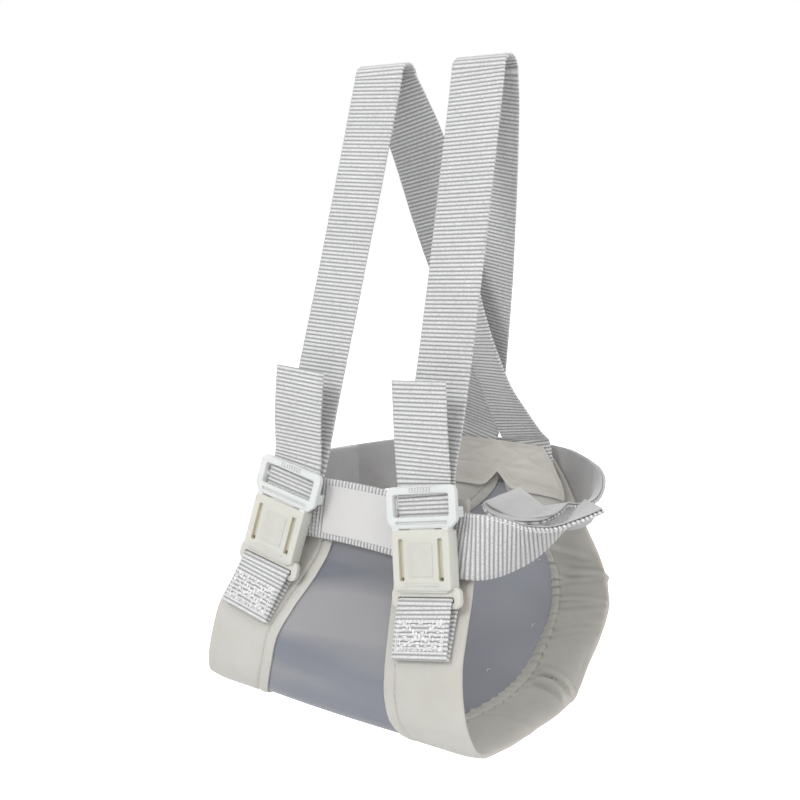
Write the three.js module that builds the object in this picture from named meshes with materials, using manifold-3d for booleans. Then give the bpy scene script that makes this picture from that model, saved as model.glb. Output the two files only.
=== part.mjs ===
// An infant's hip abduction brace, hanging by its shoulder straps: a clear saddle edged in vinyl
// holds the thighs apart, two webbing straps carry it, and a waist belt closes it.
// Millimetres, +Z up. The front, with the two buckles, looks along -Y, and left and right are as
// seen from the front. The origin is on top of the bar that the straps fold over.
import * as THREE from "three";
import { mergeVertices } from "three/addons/utils/BufferGeometryUtils.js";
import Module from "manifold-3d";

const wasm = await Module();
wasm.setup();

// Cloth and sheet
const WEBBING_WIDTH = 30;
const WEBBING_THICK = 1.6;
const LINING_THICK = 0.8;
const VINYL_THICK = 1;
const PLASTIC_THICK = 1;
const LABEL_THICK = 0.3;
const CLEARANCE = 0.3; // between pieces that touch
const TUCK_CLEARANCE = 0.6; // beside the plastic in its folded edge

// Saddle
const SADDLE_WIDTH = 176; // over both knees
const SADDLE_DEPTH = 145; // from the buckles back to where the two legs meet
const SADDLE_DROP = 119; // from the tops of the buckles down to the crotch
const BAND_TUCK = 0.5; // how far into the folded vinyl the plastic reaches, as a share of its width

// Shoulder straps
const BAR_DIAMETER = 11;
const BAR_HEIGHT = 194.3; // the bar's axis above the tops of the buckles
const BAR_BACK = 69.5; // the bar's axis behind the buckles
const STRAP_SPACING = 59; // between the straps' middles on the bar
const PATCH_SPACING = 34; // between the straps' middles at the patch
const TAIL_RISE = 48; // how far a free tail stands above its buckle
const STRAP_SEAM = 13; // the strap's length under the patch
const STRAP_BOW = 1.2; // how far the front of a strap bows back, and the other bows below
const BACK_BOW_OUT = 2.5;
const BACK_BOW_BACK = 1.5;
const TAIL_BOW = 0.6;
const TAB_BOW = 0.8;

// Buckles, measured down from the top edge and back from the front face of the adjuster
const BUCKLE_SPACING = 76.5;
const BUCKLE_BACK = 0.45;
const BUCKLE_UP = 2.35;
const BUCKLE_ROLL = 11; // degrees, outwards
const BUCKLE_LEAN = 10.6; // degrees, lower end forwards
const FRAME_WIDTH = 39;
const FRAME_HEIGHT = 19.8;
const FRAME_THICK = 3;
const FRAME_CORNER = 3.5;
const TOP_BAR = 3.8;
const WINDOW_HEIGHT = 10.4;
const LOCK_BAR_DIAMETER = 2;
const TONGUE_WIDTH = 14;
const TONGUE_LENGTH = 10;
const TONGUE_BACK = 0.5;
const SOCKET_WIDTH = 31.7;
const SOCKET_HEIGHT = 27.5;
const SOCKET_THICK = 7;
const SOCKET_PROUD = 1.5; // in front of the adjuster's face
const SLOT_WIDTH = 2.2;
const SLOT_HEIGHT = 19;
const SLOT_SPACING = 21.9;
const LOOP_WIDTH = 38.3;
const LOOP_HEIGHT = 10;
const LOOP_BAR = 2.6;
const TAB_WIDTH = 30;
const TAB_LENGTH = 24.5; // from the loop's bar down to the sewn end

// Waist belt
const LABEL_LENGTH = 52;
const LABEL_HEIGHT = 24;

const THROUGH = 20; // how far a cut runs out on both sides of a buckle

const HALF = SADDLE_WIDTH / 2;
const BAND_HALF = PLASTIC_THICK / 2 + TUCK_CLEARANCE + VINYL_THICK; // half of the folded band's thickness
const BELT_STACK = WEBBING_THICK + CLEARANCE + LINING_THICK;

// The right edge band, from behind the buckle down, under the thigh and up the back to the patch.
// Its inner edge (ix, iy, iz) and its folded outer edge (ox, oy, oz), as shares of half the saddle's
// width, of its depth and of its drop.
const BAND = [
  { ix: 0.188, iy: 0.106, iz: -0.08, ox: 0.642, oy: 0.108, oz: -0.038 },
  { ix: 0.205, iy: 0.086, iz: -0.21, ox: 0.67, oy: 0.088, oz: -0.16 },
  { ix: 0.233, iy: 0.061, iz: -0.345, ox: 0.71, oy: 0.071, oz: -0.277 },
  { ix: 0.273, iy: 0.006, iz: -0.455, ox: 0.752, oy: 0.021, oz: -0.385 },
  { ix: 0.33, iy: -0.066, iz: -0.568, ox: 0.802, oy: -0.059, oz: -0.496 },
  { ix: 0.375, iy: -0.124, iz: -0.681, ox: 0.836, oy: -0.117, oz: -0.608 },
  { ix: 0.393, iy: -0.142, iz: -0.787, ox: 0.868, oy: -0.139, oz: -0.739 },
  { ix: 0.427, iy: -0.138, iz: -0.882, ox: 0.902, oy: -0.138, oz: -0.849 },
  { ix: 0.483, iy: -0.1, iz: -0.948, ox: 0.936, oy: -0.106, oz: -0.933 },
  { ix: 0.534, iy: 0.028, iz: -0.977, ox: 0.955, oy: 0.021, oz: -0.966 },
  { ix: 0.564, iy: 0.207, iz: -0.992, ox: 0.966, oy: 0.214, oz: -0.98 },
  { ix: 0.573, iy: 0.393, iz: -1, ox: 0.968, oy: 0.421, oz: -0.986 },
  { ix: 0.573, iy: 0.555, iz: -0.971, ox: 0.968, oy: 0.579, oz: -0.937 },
  { ix: 0.57, iy: 0.703, iz: -0.874, ox: 0.973, oy: 0.686, oz: -0.798 },
  { ix: 0.552, iy: 0.817, iz: -0.761, ox: 0.973, oy: 0.755, oz: -0.672 },
  { ix: 0.5, iy: 0.879, iz: -0.63, ox: 0.932, oy: 0.786, oz: -0.546 },
  { ix: 0.392, iy: 0.924, iz: -0.513, ox: 0.852, oy: 0.8, oz: -0.433 },
  { ix: 0.17, iy: 0.979, iz: -0.395, ox: 0.699, oy: 0.869, oz: -0.324 },
  { ix: 0.041, iy: 1, iz: -0.282, ox: 0.477, oy: 1, oz: -0.202 },
  { ix: 0.007, iy: 1, iz: -0.16, ox: 0.341, oy: 1, oz: -0.059 },
];

// Wrinkles in the band's folded edge: where, as a share of the table's length, how high in
// millimetres, and how long along the band, as the same share.
const BAND_FOLDS = [
  { at: 0.555, rise: 2.2, long: 0.012 },
  { at: 0.59, rise: 1.8, long: 0.012 },
  { at: 0.745, rise: 1.6, long: 0.01 },
];

// How far behind the legs' surface the back belt runs, as a share of the depth.
const BELT_OUT = (BAND_HALF + CLEARANCE + BELT_STACK / 2 + 0.9) / SADDLE_DEPTH;

// The waist belt's two ends, along the middle of the webbing: shares as above, and the lean of its
// top edge outwards in degrees.
const BELT_FRONT = [
  { x: -0.807, y: 0.676, z: -0.202, lean: 0 },
  { x: -0.898, y: 0.524, z: -0.202, lean: 0 },
  { x: -0.926, y: 0.29, z: -0.202, lean: 0 },
  { x: -0.864, y: 0.138, z: -0.189, lean: -4 },
  { x: -0.705, y: 0.052, z: -0.176, lean: -12 },
  { x: -0.318, y: 0.059, z: -0.168, lean: -12 },
  { x: 0, y: 0.059, z: -0.168, lean: -12 },
  { x: 0.318, y: 0.058, z: -0.181, lean: -12 },
  { x: 0.545, y: 0.048, z: -0.197, lean: -12 },
  { x: 0.682, y: 0.039, z: -0.2, lean: -14 },
  { x: 0.767, y: 0.05, z: -0.198, lean: -6 },
  { x: 0.858, y: 0.088, z: -0.197, lean: 14 },
  { x: 0.949, y: 0.13, z: -0.19, lean: 36 },
  { x: 1.04, y: 0.177, z: -0.161, lean: 52 },
  { x: 1.131, y: 0.228, z: -0.108, lean: 66 },
  { x: 1.222, y: 0.283, z: -0.044, lean: 80 },
];

const BELT_BACK = [
  { x: -0.983, y: 0.248, z: -0.202, lean: 0 },
  { x: -0.96, y: 0.517, z: -0.21, lean: 0 },
  { x: -0.83, y: 0.772, z: -0.21, lean: 0 },
  { x: -0.727, y: 0.89, z: -0.206, lean: 0 },
  { x: -0.602, y: 0.972, z: -0.197, lean: 0 },
  { x: -0.455, y: 1 + BELT_OUT, z: -0.189, lean: 0 },
  { x: -0.227, y: 1 + BELT_OUT, z: -0.172, lean: 0 },
  { x: 0, y: 1 + BELT_OUT, z: -0.168, lean: 0 },
  { x: 0.227, y: 1 + BELT_OUT, z: -0.168, lean: 0 },
  { x: 0.455, y: 1 + BELT_OUT, z: -0.181, lean: 0 },
  { x: 0.602, y: 0.979, z: -0.189, lean: 0 },
  { x: 0.733, y: 0.897, z: -0.189, lean: 0 },
  { x: 0.83, y: 0.793, z: -0.181, lean: 9 },
  { x: 0.9, y: 0.676, z: -0.176, lean: 24 },
  { x: 0.935, y: 0.552, z: -0.171, lean: 43 },
  { x: 0.94, y: 0.434, z: -0.148, lean: 60 },
  { x: 0.882, y: 0.343, z: -0.113, lean: 71 },
  { x: 0.864, y: 0.265, z: -0.103, lean: 87 },
  { x: 0.83, y: 0.201, z: -0.084, lean: 99 },
  { x: 0.739, y: 0.199, z: -0.042, lean: 93 },
];

// The back patch, from its middle outwards: shares of half the saddle's width and of its drop, and
// how far its bottom edge comes forwards over the legs, as a share of the depth.
const PATCH = [
  { x: 0, top: -0.038, bottom: -0.193, fore: 0 },
  { x: 0.04, top: -0.038, bottom: -0.227, fore: 0 },
  { x: 0.08, top: -0.038, bottom: -0.261, fore: 0 },
  { x: 0.136, top: -0.038, bottom: -0.277, fore: 0 },
  { x: 0.227, top: -0.038, bottom: -0.277, fore: 0 },
  { x: 0.33, top: -0.042, bottom: -0.276, fore: 0.009 },
  { x: 0.409, top: -0.12, bottom: -0.273, fore: 0.023 },
  { x: 0.477, top: -0.188, bottom: -0.271, fore: 0.037 },
  { x: 0.54, top: -0.25, bottom: -0.269, fore: 0.062 },
];

// How far back from the adjuster's face, and how far down, the plies and bars of a buckle lie.
const STRAP_FRONT = FRAME_THICK + CLEARANCE + WEBBING_THICK / 2;
const STRAP_LOOP = LOCK_BAR_DIAMETER / 2 + CLEARANCE + WEBBING_THICK / 2;
const LOCK_BAR_BACK = STRAP_FRONT + STRAP_LOOP;
const STRAP_REAR = LOCK_BAR_BACK + STRAP_LOOP;
const LOCK_BAR_DOWN = TOP_BAR + WINDOW_HEIGHT - LOCK_BAR_DIAMETER / 2;
const SOCKET_TOP = FRAME_HEIGHT + CLEARANCE;
const SOCKET_BOTTOM = SOCKET_TOP + SOCKET_HEIGHT;
const BUCKLE_BOTTOM = SOCKET_BOTTOM + LOOP_HEIGHT - SOCKET_PROUD;
const LOOP_BACK = FRAME_THICK / 4;
const LOOP_BAR_BACK = LOOP_BACK + FRAME_THICK / 2;
const LOOP_BAR_DOWN = BUCKLE_BOTTOM - LOOP_BAR / 2;
const TAB_LOOP = Math.hypot(FRAME_THICK, LOOP_BAR) / 2 + CLEARANCE + WEBBING_THICK / 2;

const material = (color, roughness, more = {}) =>
  new THREE.MeshStandardMaterial({ color, roughness, metalness: 0, ...more });
const WEBBING = material(0xeceded, 0.8);
const LINING = material(0xb9bbc0, 0.95);
const VINYL = material(0xd9d6c8, 0.55);
const PLASTIC = material(0xb4b8cc, 0.2, { transparent: true, opacity: 0.5 });
const ADJUSTER = material(0xdfdfda, 0.35);
const SOCKET = material(0xe4e0d0, 0.4);
const LABEL = material(0xf4f4f4, 0.6);

const point = (x, y, z) => new THREE.Vector3(x, y, z);
const between = (a, b, share) => a.clone().lerp(b, share);

// A closed body from corners and triangles, turned so that its faces look out.
function body(corners, triangles) {
  let volume = 0;
  for (const [a, b, c] of triangles) {
    volume += corners[a].dot(corners[b].clone().cross(corners[c]));
  }
  const turned = volume < 0 ? triangles.map(([a, b, c]) => [a, c, b]) : triangles;
  const geometry = new THREE.BufferGeometry().setFromPoints(corners);
  geometry.setIndex(turned.flat());
  return geometry;
}

// A wall of even thickness on a grid of points, moved off the grid by shift along its normals.
function wall(grid, thick, shift = 0) {
  const rows = grid.length;
  const columns = grid[0].length;
  const at = (i, j) => grid[Math.min(Math.max(i, 0), rows - 1)][Math.min(Math.max(j, 0), columns - 1)];
  const near = [];
  const far = [];
  for (let i = 0; i < rows; i++) {
    for (let j = 0; j < columns; j++) {
      const along = at(i + 1, j).clone().sub(at(i - 1, j));
      const across = at(i, j + 1).clone().sub(at(i, j - 1));
      const normal = along.cross(across).normalize();
      near.push(at(i, j).clone().addScaledVector(normal, shift + thick / 2));
      far.push(at(i, j).clone().addScaledVector(normal, shift - thick / 2));
    }
  }
  const index = (i, j) => i * columns + j;
  const triangles = [];
  const back = near.length;
  for (let i = 0; i < rows - 1; i++) {
    for (let j = 0; j < columns - 1; j++) {
      const [a, b, c, d] = [index(i, j), index(i + 1, j), index(i + 1, j + 1), index(i, j + 1)];
      triangles.push([a, b, c], [a, c, d]);
      triangles.push([back + c, back + b, back + a], [back + d, back + c, back + a]);
    }
  }
  const rim = [];
  for (let i = 0; i < rows - 1; i++) rim.push([index(i, 0), index(i + 1, 0)]);
  for (let j = 0; j < columns - 1; j++) rim.push([index(rows - 1, j), index(rows - 1, j + 1)]);
  for (let i = rows - 1; i > 0; i--) rim.push([index(i, columns - 1), index(i - 1, columns - 1)]);
  for (let j = columns - 1; j > 0; j--) rim.push([index(0, j), index(0, j - 1)]);
  for (const [a, b] of rim) triangles.push([b, a, back + a], [b, back + a, back + b]);
  return body([...near, ...far], triangles);
}

// A loft through rings of points that all follow one flat outline, with both ends closed.
function loft(rings, outline) {
  const count = outline.length;
  const corners = rings.flat();
  const triangles = [];
  for (let i = 0; i < rings.length - 1; i++) {
    for (let k = 0; k < count; k++) {
      const next = (k + 1) % count;
      const [a, b] = [i * count + k, i * count + next];
      triangles.push([a, b, b + count], [a, b + count, a + count]);
    }
  }
  const turn = (a, b, c) => (b.x - a.x) * (c.y - a.y) - (b.y - a.y) * (c.x - a.x);
  const clockwise = THREE.ShapeUtils.area(outline) < 0;
  const last = (rings.length - 1) * count;
  for (const [a, b, c] of THREE.ShapeUtils.triangulateShape(outline, [])) {
    const same = turn(outline[a], outline[b], outline[c]) < 0 === clockwise;
    const [p, q, r] = same ? [a, b, c] : [a, c, b];
    triangles.push([p, r, q], [last + p, last + q, last + r]);
  }
  return body(corners, triangles);
}

// The same shape on the other side of the middle plane.
function mirrored(geometry) {
  const copy = geometry.clone().scale(-1, 1, 1);
  const index = copy.getIndex().array;
  for (let i = 0; i < index.length; i += 3) [index[i + 1], index[i + 2]] = [index[i + 2], index[i + 1]];
  return copy;
}

// A smooth line through a table's places, read by a share of the table's length.
const lineOf = (places) => new THREE.CatmullRomCurve3(places, false, "centripetal");
const bandInner = lineOf(BAND.map((r) => point(r.ix * HALF, r.iy * SADDLE_DEPTH, r.iz * SADDLE_DROP)));
const bandOuter = lineOf(BAND.map((r) => point(r.ox * HALF, r.oy * SADDLE_DEPTH, r.oz * SADDLE_DROP)));

const BAND_STEPS = 48;

// The band's middle surface at a share along it and a share out from its inner edge.
const bandPoint = (along, out) => between(bandInner.getPoint(along), bandOuter.getPoint(along), out);

// The folded band: two plies joined round the outer edge, which take the plastic between them.
function edgeBand() {
  const inside = BAND_HALF - VINYL_THICK;
  const fold = [-60, -20, 20, 60].map(THREE.MathUtils.degToRad);
  const outline = [
    [0, -BAND_HALF], [0.5, -BAND_HALF], [0.94, -BAND_HALF],
    ...fold.map((a) => [0.955 + 0.045 * Math.cos(a), BAND_HALF * Math.sin(a)]),
    [0.94, BAND_HALF], [0.5, BAND_HALF], [0, BAND_HALF],
    [0, inside], [0.5, inside], [0.92, inside],
    [0.92, -inside], [0.5, -inside], [0, -inside],
  ];
  const rings = [];
  for (let i = 0; i <= BAND_STEPS; i++) {
    const along = i / BAND_STEPS;
    const step = 0.5 / BAND_STEPS;
    const ahead = Math.min(along + step, 1);
    const behind = Math.max(along - step, 0);
    const run = bandPoint(ahead, 0.5).sub(bandPoint(behind, 0.5));
    const across = bandOuter.getPoint(along).sub(bandInner.getPoint(along)).normalize();
    const normal = run.cross(across).normalize();
    rings.push(
      outline.map(([out, off]) => {
        const rise = out > 0.93 ? foldRise(along) : 0;
        return bandPoint(along, out).addScaledVector(normal, off).addScaledVector(across, rise);
      }),
    );
  }
  return loft(rings, outline.map(([out, off]) => new THREE.Vector2(out * HALF, off)));
}

function foldRise(along) {
  let rise = 0;
  for (const fold of BAND_FOLDS) rise += fold.rise * Math.exp(-(((along - fold.at) / fold.long) ** 2));
  return rise;
}

// The clear saddle: from inside one band to inside the other, rounded between their inner edges.
const SHELL_FIRST = 3; // the band's steps at which the plastic starts and ends
const SHELL_LAST = 46;

function shell() {
  const mirror = (p) => point(-p.x, p.y, p.z);
  const grid = [];
  for (let i = SHELL_FIRST; i <= SHELL_LAST; i++) {
    const along = i / BAND_STEPS;
    const rim = [BAND_TUCK, BAND_TUCK * 0.7, 0.2].map((out) => bandPoint(along, out));
    const edge = bandPoint(along, 0);
    const lead = edge.clone().sub(bandPoint(along, 1)).normalize().multiplyScalar((edge.x * 2) / 3);
    const span = new THREE.CubicBezierCurve3(
      mirror(edge), mirror(edge.clone().add(lead)), edge.clone().add(lead), edge,
    );
    grid.push([...rim.map(mirror), ...span.getPoints(6), ...rim.reverse()]);
  }
  return wall(grid, PLASTIC_THICK);
}

// A straight or twisted band of webbing: each row gives its middle and the way across it.
const ribbon = (rows, width) =>
  rows.map(({ middle, across }) =>
    [-0.5, 0, 0.5].map((s) => middle.clone().addScaledVector(across, s * width)),
  );

// The way across a run that is as level along X as the run lets it be.
const levelAcross = (run) => point(1, 0, 0).addScaledVector(run, -run.x).normalize();

// The rows of a ribbon that follows a line of middles, kept level.
function levelRows(middles) {
  return middles.map((middle, i) => {
    const before = middles[Math.max(i - 1, 0)];
    const after = middles[Math.min(i + 1, middles.length - 1)];
    return { middle, across: levelAcross(after.clone().sub(before).normalize()) };
  });
}

// The places of the right buckle and what goes round its bars, from its own frame.
const buckleFrame = new THREE.Object3D();
function placeBuckle(object, side) {
  object.position.set((side * BUCKLE_SPACING) / 2, BUCKLE_BACK, BUCKLE_UP);
  const roll = THREE.MathUtils.degToRad(-side * BUCKLE_ROLL);
  object.rotation.set(THREE.MathUtils.degToRad(-BUCKLE_LEAN), roll, 0, "YXZ");
  object.updateMatrixWorld(true);
}
placeBuckle(buckleFrame, 1);
const inBuckle = (back, down) => buckleFrame.localToWorld(point(0, back, -down));
const buckleAcross = point(1, 0, 0).transformDirection(buckleFrame.matrixWorld);

// Places round a buckle's bar, seen from its side, from a start angle at its front through a turn.
function roundBar(back, down, radius, start, turn, steps) {
  const rows = [];
  for (let k = 0; k <= steps; k++) {
    const a = THREE.MathUtils.degToRad(start + (turn * k) / steps);
    rows.push(inBuckle(back - radius * Math.cos(a), down - radius * Math.sin(a)));
  }
  return rows;
}

// A shoulder strap on the right: free tail, round the lock bar, up, over the bar and down the back
// to the other side of the patch. The layer keeps the two straps apart where they cross.
function strap(layer) {
  const tailTop = point(0.46 * BUCKLE_SPACING, 0.03 * SADDLE_DEPTH, BUCKLE_UP + TAIL_RISE);
  const low = LOCK_BAR_DOWN;
  const tail = [
    tailTop,
    between(tailTop, inBuckle(STRAP_FRONT, 0), 0.5).add(point(0, -TAIL_BOW, 0)),
    inBuckle(STRAP_FRONT, -2),
    inBuckle(STRAP_FRONT, low / 2),
  ];
  const loop = roundBar(LOCK_BAR_BACK, low, STRAP_LOOP, 0, -180, 8);
  const radius = (BAR_DIAMETER + WEBBING_THICK) / 2;
  const foot = inBuckle(STRAP_REAR, -4);
  const shoulder = point(STRAP_SPACING / 2, BAR_BACK - radius, BAR_HEIGHT);
  const front = [inBuckle(STRAP_REAR, low / 2), foot];
  for (const share of [0.15, 0.35, 0.55, 0.75, 0.92]) {
    const bow = 4 * share * (1 - share);
    front.push(between(foot, shoulder, share).add(point((STRAP_BOW * bow) / 3, STRAP_BOW * bow, 0)));
  }
  const turn = [];
  for (let k = 0; k <= 10; k++) {
    const a = (Math.PI * k) / 10;
    turn.push(point(STRAP_SPACING / 2, BAR_BACK - radius * Math.cos(a), BAR_HEIGHT + radius * Math.sin(a)));
  }
  const back = [];
  const turns = [];
  const patchTop = PATCH[0].top * SADDLE_DROP;
  const start = turn[turn.length - 1];
  const landing = point(-PATCH_SPACING / 2, STRAP_END_BACK, patchTop + LANDING_UP);
  for (const { share, swing, twist } of STRAP_BACK) {
    const bow = 4 * share * (1 - share);
    const apart = layer * STRAPS_APART * 0.5 * (share > APART_UNTIL ? 0 : 1);
    const away = layer < 0 ? swing * SADDLE_DEPTH : 0;
    const aside = point(BACK_BOW_OUT * bow, apart + BACK_BOW_BACK * bow + away, 0);
    back.push(between(start, landing, share).add(aside));
    turns.push(layer < 0 ? twist : 0);
  }
  const slope = (start.x - landing.x) / (start.z - landing.z);
  for (const down of [LANDING_UP, LANDING_UP + STRAP_SEAM]) {
    back.push(point(landing.x - slope * down, STRAP_END_BACK, landing.z - down));
  }
  const rows = levelRows([...tail, ...loop, ...front, ...turn, ...back]);
  const held = tail.length + loop.length + 2;
  rows.slice(2, held).forEach((row) => (row.across = buckleAcross));
  const backFirst = rows.length - back.length;
  turns.forEach((twist, k) => {
    const row = rows[backFirst + k];
    const run = rows[backFirst + k + 1].middle.clone().sub(rows[backFirst + k - 1].middle).normalize();
    row.across = row.across.clone().applyAxisAngle(run, THREE.MathUtils.degToRad(twist));
  });
  return wall(ribbon(rows, WEBBING_WIDTH), WEBBING_THICK);
}

// The straps' way down the back, by its share from the bar to the patch. Behind the bar the left strap
// swings away, as a share of the saddle's depth, and twists, in degrees, so that it turns its edge
// to the front where it crosses the right one.
const STRAP_BACK = [
  { share: 0.06, swing: 0.008, twist: 12 },
  { share: 0.13, swing: 0.019, twist: 21 },
  { share: 0.2, swing: 0.021, twist: 24 },
  { share: 0.35, swing: -0.014, twist: 12 },
  { share: 0.5, swing: -0.048, twist: -4 },
  { share: 0.62, swing: -0.062, twist: -16 },
  { share: 0.72, swing: -0.064, twist: -21 },
  { share: 0.82, swing: -0.055, twist: -22 },
  { share: 0.9, swing: -0.038, twist: -13 },
  { share: 0.98, swing: -0.01, twist: -2 },
  { share: 1, swing: 0, twist: 0 },
];
const STRAPS_APART = WEBBING_THICK + 2 * CLEARANCE; // between the straps' middles where they cross

// The share of the way down the back to which the two straps lie one behind the other.
const APART_UNTIL = 0.98;
const LANDING_UP = 2; // above the patch's top edge, where the straps reach the legs' face

// The straps' ends and the patch lie on the legs' front face.
const STRAP_END_BACK = SADDLE_DEPTH - BAND_HALF - CLEARANCE - WEBBING_THICK / 2;

// How far out over the band the tab's middle lies, as a share of its width.
const TAB_SHARE = 0.52;

// The tab on the right: up in front of the loop's bar, over it and down behind it to the band.
function tab() {
  const bar = inBuckle(LOOP_BAR_BACK, LOOP_BAR_DOWN);
  const down = bandPoint(0.31, TAB_SHARE).sub(bandPoint(0.19, TAB_SHARE)).normalize();
  const sewn = nearestOnBand(bar.clone().addScaledVector(down, TAB_LENGTH));
  const bandAcross = bandOuter.getPoint(sewn).sub(bandInner.getPoint(sewn)).normalize();
  const seatAcross = bandAcross.addScaledVector(down, -bandAcross.dot(down)).normalize();
  const outwards = down.clone().cross(seatAcross);
  const seat = BAND_HALF + 3 * CLEARANCE + WEBBING_THICK / 2;
  const rear = bandPoint(sewn, TAB_SHARE).addScaledVector(outwards, seat);
  const fore = rear.clone().addScaledVector(outwards, WEBBING_THICK + CLEARANCE);
  const over = roundBar(LOOP_BAR_BACK, LOOP_BAR_DOWN, TAB_LOOP, 0, 180, 8);
  const rising = [0, 0.3, 0.6, 0.85].map((s) => ({
    middle: between(fore, over[0], s).addScaledVector(outwards, TAB_BOW * s * (1 - s)),
    across: between(seatAcross, buckleAcross, s).normalize(),
  }));
  const round = over.map((middle) => ({ middle, across: buckleAcross }));
  const falling = [0.15, 0.4, 0.7, 1].map((s) => ({
    middle: between(over[over.length - 1], rear, s),
    across: between(buckleAcross, seatAcross, s).normalize(),
  }));
  return wall(ribbon([...rising, ...round, ...falling], TAB_WIDTH), WEBBING_THICK);
}

// The share along the band, on its middle, that is nearest to a place.
function nearestOnBand(place) {
  let best = 0;
  for (let i = 0; i <= 400; i++) {
    const along = (i / 400) * 0.45;
    const away = bandPoint(along, TAB_SHARE).distanceTo(place);
    if (away < bandPoint(best, TAB_SHARE).distanceTo(place)) best = along;
  }
  return best;
}

// The belt's rows at a table's middle line: upright or leaning, with its outer side given by turn.
function beltRows(table, turn, steps, first = 0, last = 1) {
  const middle = lineOf(table.map((r) => point(r.x * HALF, r.y * SADDLE_DEPTH, r.z * SADDLE_DROP)));
  const lean = lineOf(table.map((r, i) => point(i, r.lean, 0)));
  const rows = [];
  for (let k = 0; k <= steps; k++) {
    const share = first + ((last - first) * k) / steps;
    const run = middle.getTangent(share).setZ(0).normalize();
    const outwards = point(-run.y * turn, run.x * turn, 0);
    const tilt = THREE.MathUtils.degToRad(lean.getPoint(share).y);
    const across = point(0, 0, Math.cos(tilt)).addScaledVector(outwards, Math.sin(tilt));
    rows.push({ middle: middle.getPoint(share), across });
  }
  return rows;
}

const WEBBING_OUT = (BELT_STACK - WEBBING_THICK) / 2;
const LINING_IN = (BELT_STACK - LINING_THICK) / 2;
const BELT_STEPS = 42;
const frontRows = beltRows(BELT_FRONT, -1, BELT_STEPS);
const backRows = beltRows(BELT_BACK, 1, BELT_STEPS);

// The label lies on the front belt's outer face, about the middle.
function label() {
  const reach = LABEL_LENGTH / 2;
  const middles = frontRows.filter((row) => Math.abs(row.middle.x) < reach - 1);
  const ends = [-1, 1].map((side) => {
    const i = frontRows.findIndex((row) => row.middle.x > side * reach);
    const [a, b] = [frontRows[i - 1], frontRows[i]];
    const share = (side * reach - a.middle.x) / (b.middle.x - a.middle.x);
    return { middle: between(a.middle, b.middle, share), across: between(a.across, b.across, share) };
  });
  const rows = [ends[0], ...middles, ends[1]];
  const out = WEBBING_OUT + WEBBING_THICK / 2 + CLEARANCE + LABEL_THICK / 2;
  return wall(ribbon(rows, LABEL_HEIGHT), LABEL_THICK, out);
}

// The patch: columns from one side to the other, each from its top edge to its bottom edge.
function patch() {
  const highest = PATCH[0].top;
  const column = (row, side) =>
    [0, 0.5, 1].map((share) => {
      const x = row.x * HALF;
      const down = THREE.MathUtils.lerp(row.top, row.bottom, share);
      const fore = (row.fore * (highest - down)) / (highest - row.bottom);
      const y = STRAP_END_BACK - WEBBING_THICK / 2 - 2 * CLEARANCE - VINYL_THICK / 2;
      return point(side * x, y - fore * SADDLE_DEPTH, down * SADDLE_DROP);
    });
  const outwards = PATCH.slice(1);
  const left = [...outwards].reverse().map((row) => column(row, -1));
  return wall([...left, column(PATCH[0], 1), ...outwards.map((row) => column(row, 1))], VINYL_THICK);
}

// A flat outline with round corners about the middle, between two depths down the buckle.
function plate(width, top, bottom, corner) {
  const [w, h] = [width / 2 - corner, (bottom - top) / 2 - corner];
  const centre = -(top + bottom) / 2;
  const shape = new THREE.Shape();
  [[w, h, 0], [-w, h, 90], [-w, -h, 180], [w, -h, 270]].forEach(([x, z, turn]) => {
    const start = THREE.MathUtils.degToRad(turn);
    shape.absarc(x, centre + z, corner, start, start + Math.PI / 2, false);
  });
  return shape;
}

// A flat outline made solid, from one depth behind the buckle's face to another.
function extruded(shape, from, to) {
  const options = { depth: to - from, bevelEnabled: false, curveSegments: 5 };
  const geometry = new THREE.ExtrudeGeometry(shape, options);
  return solid(geometry.rotateX(Math.PI / 2).translate(0, to, 0));
}

function box(x0, x1, y0, y1, down0, down1) {
  const geometry = new THREE.BoxGeometry(x1 - x0, y1 - y0, down1 - down0);
  return solid(geometry.translate((x0 + x1) / 2, (y0 + y1) / 2, -(down0 + down1) / 2));
}

function solid(geometry) {
  const bare = geometry.clone();
  bare.deleteAttribute("normal");
  bare.deleteAttribute("uv");
  const merged = mergeVertices(bare, 1e-4);
  const vertProperties = new Float32Array(merged.attributes.position.array);
  const triVerts = new Uint32Array(merged.index.array);
  return new wasm.Manifold(new wasm.Mesh({ numProp: 3, vertProperties, triVerts }));
}

function geometryOf(manifold) {
  const mesh = manifold.getMesh();
  const geometry = new THREE.BufferGeometry();
  geometry.setAttribute("position", new THREE.BufferAttribute(mesh.vertProperties, 3));
  geometry.setIndex(new THREE.BufferAttribute(mesh.triVerts, 1));
  return geometry;
}

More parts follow.
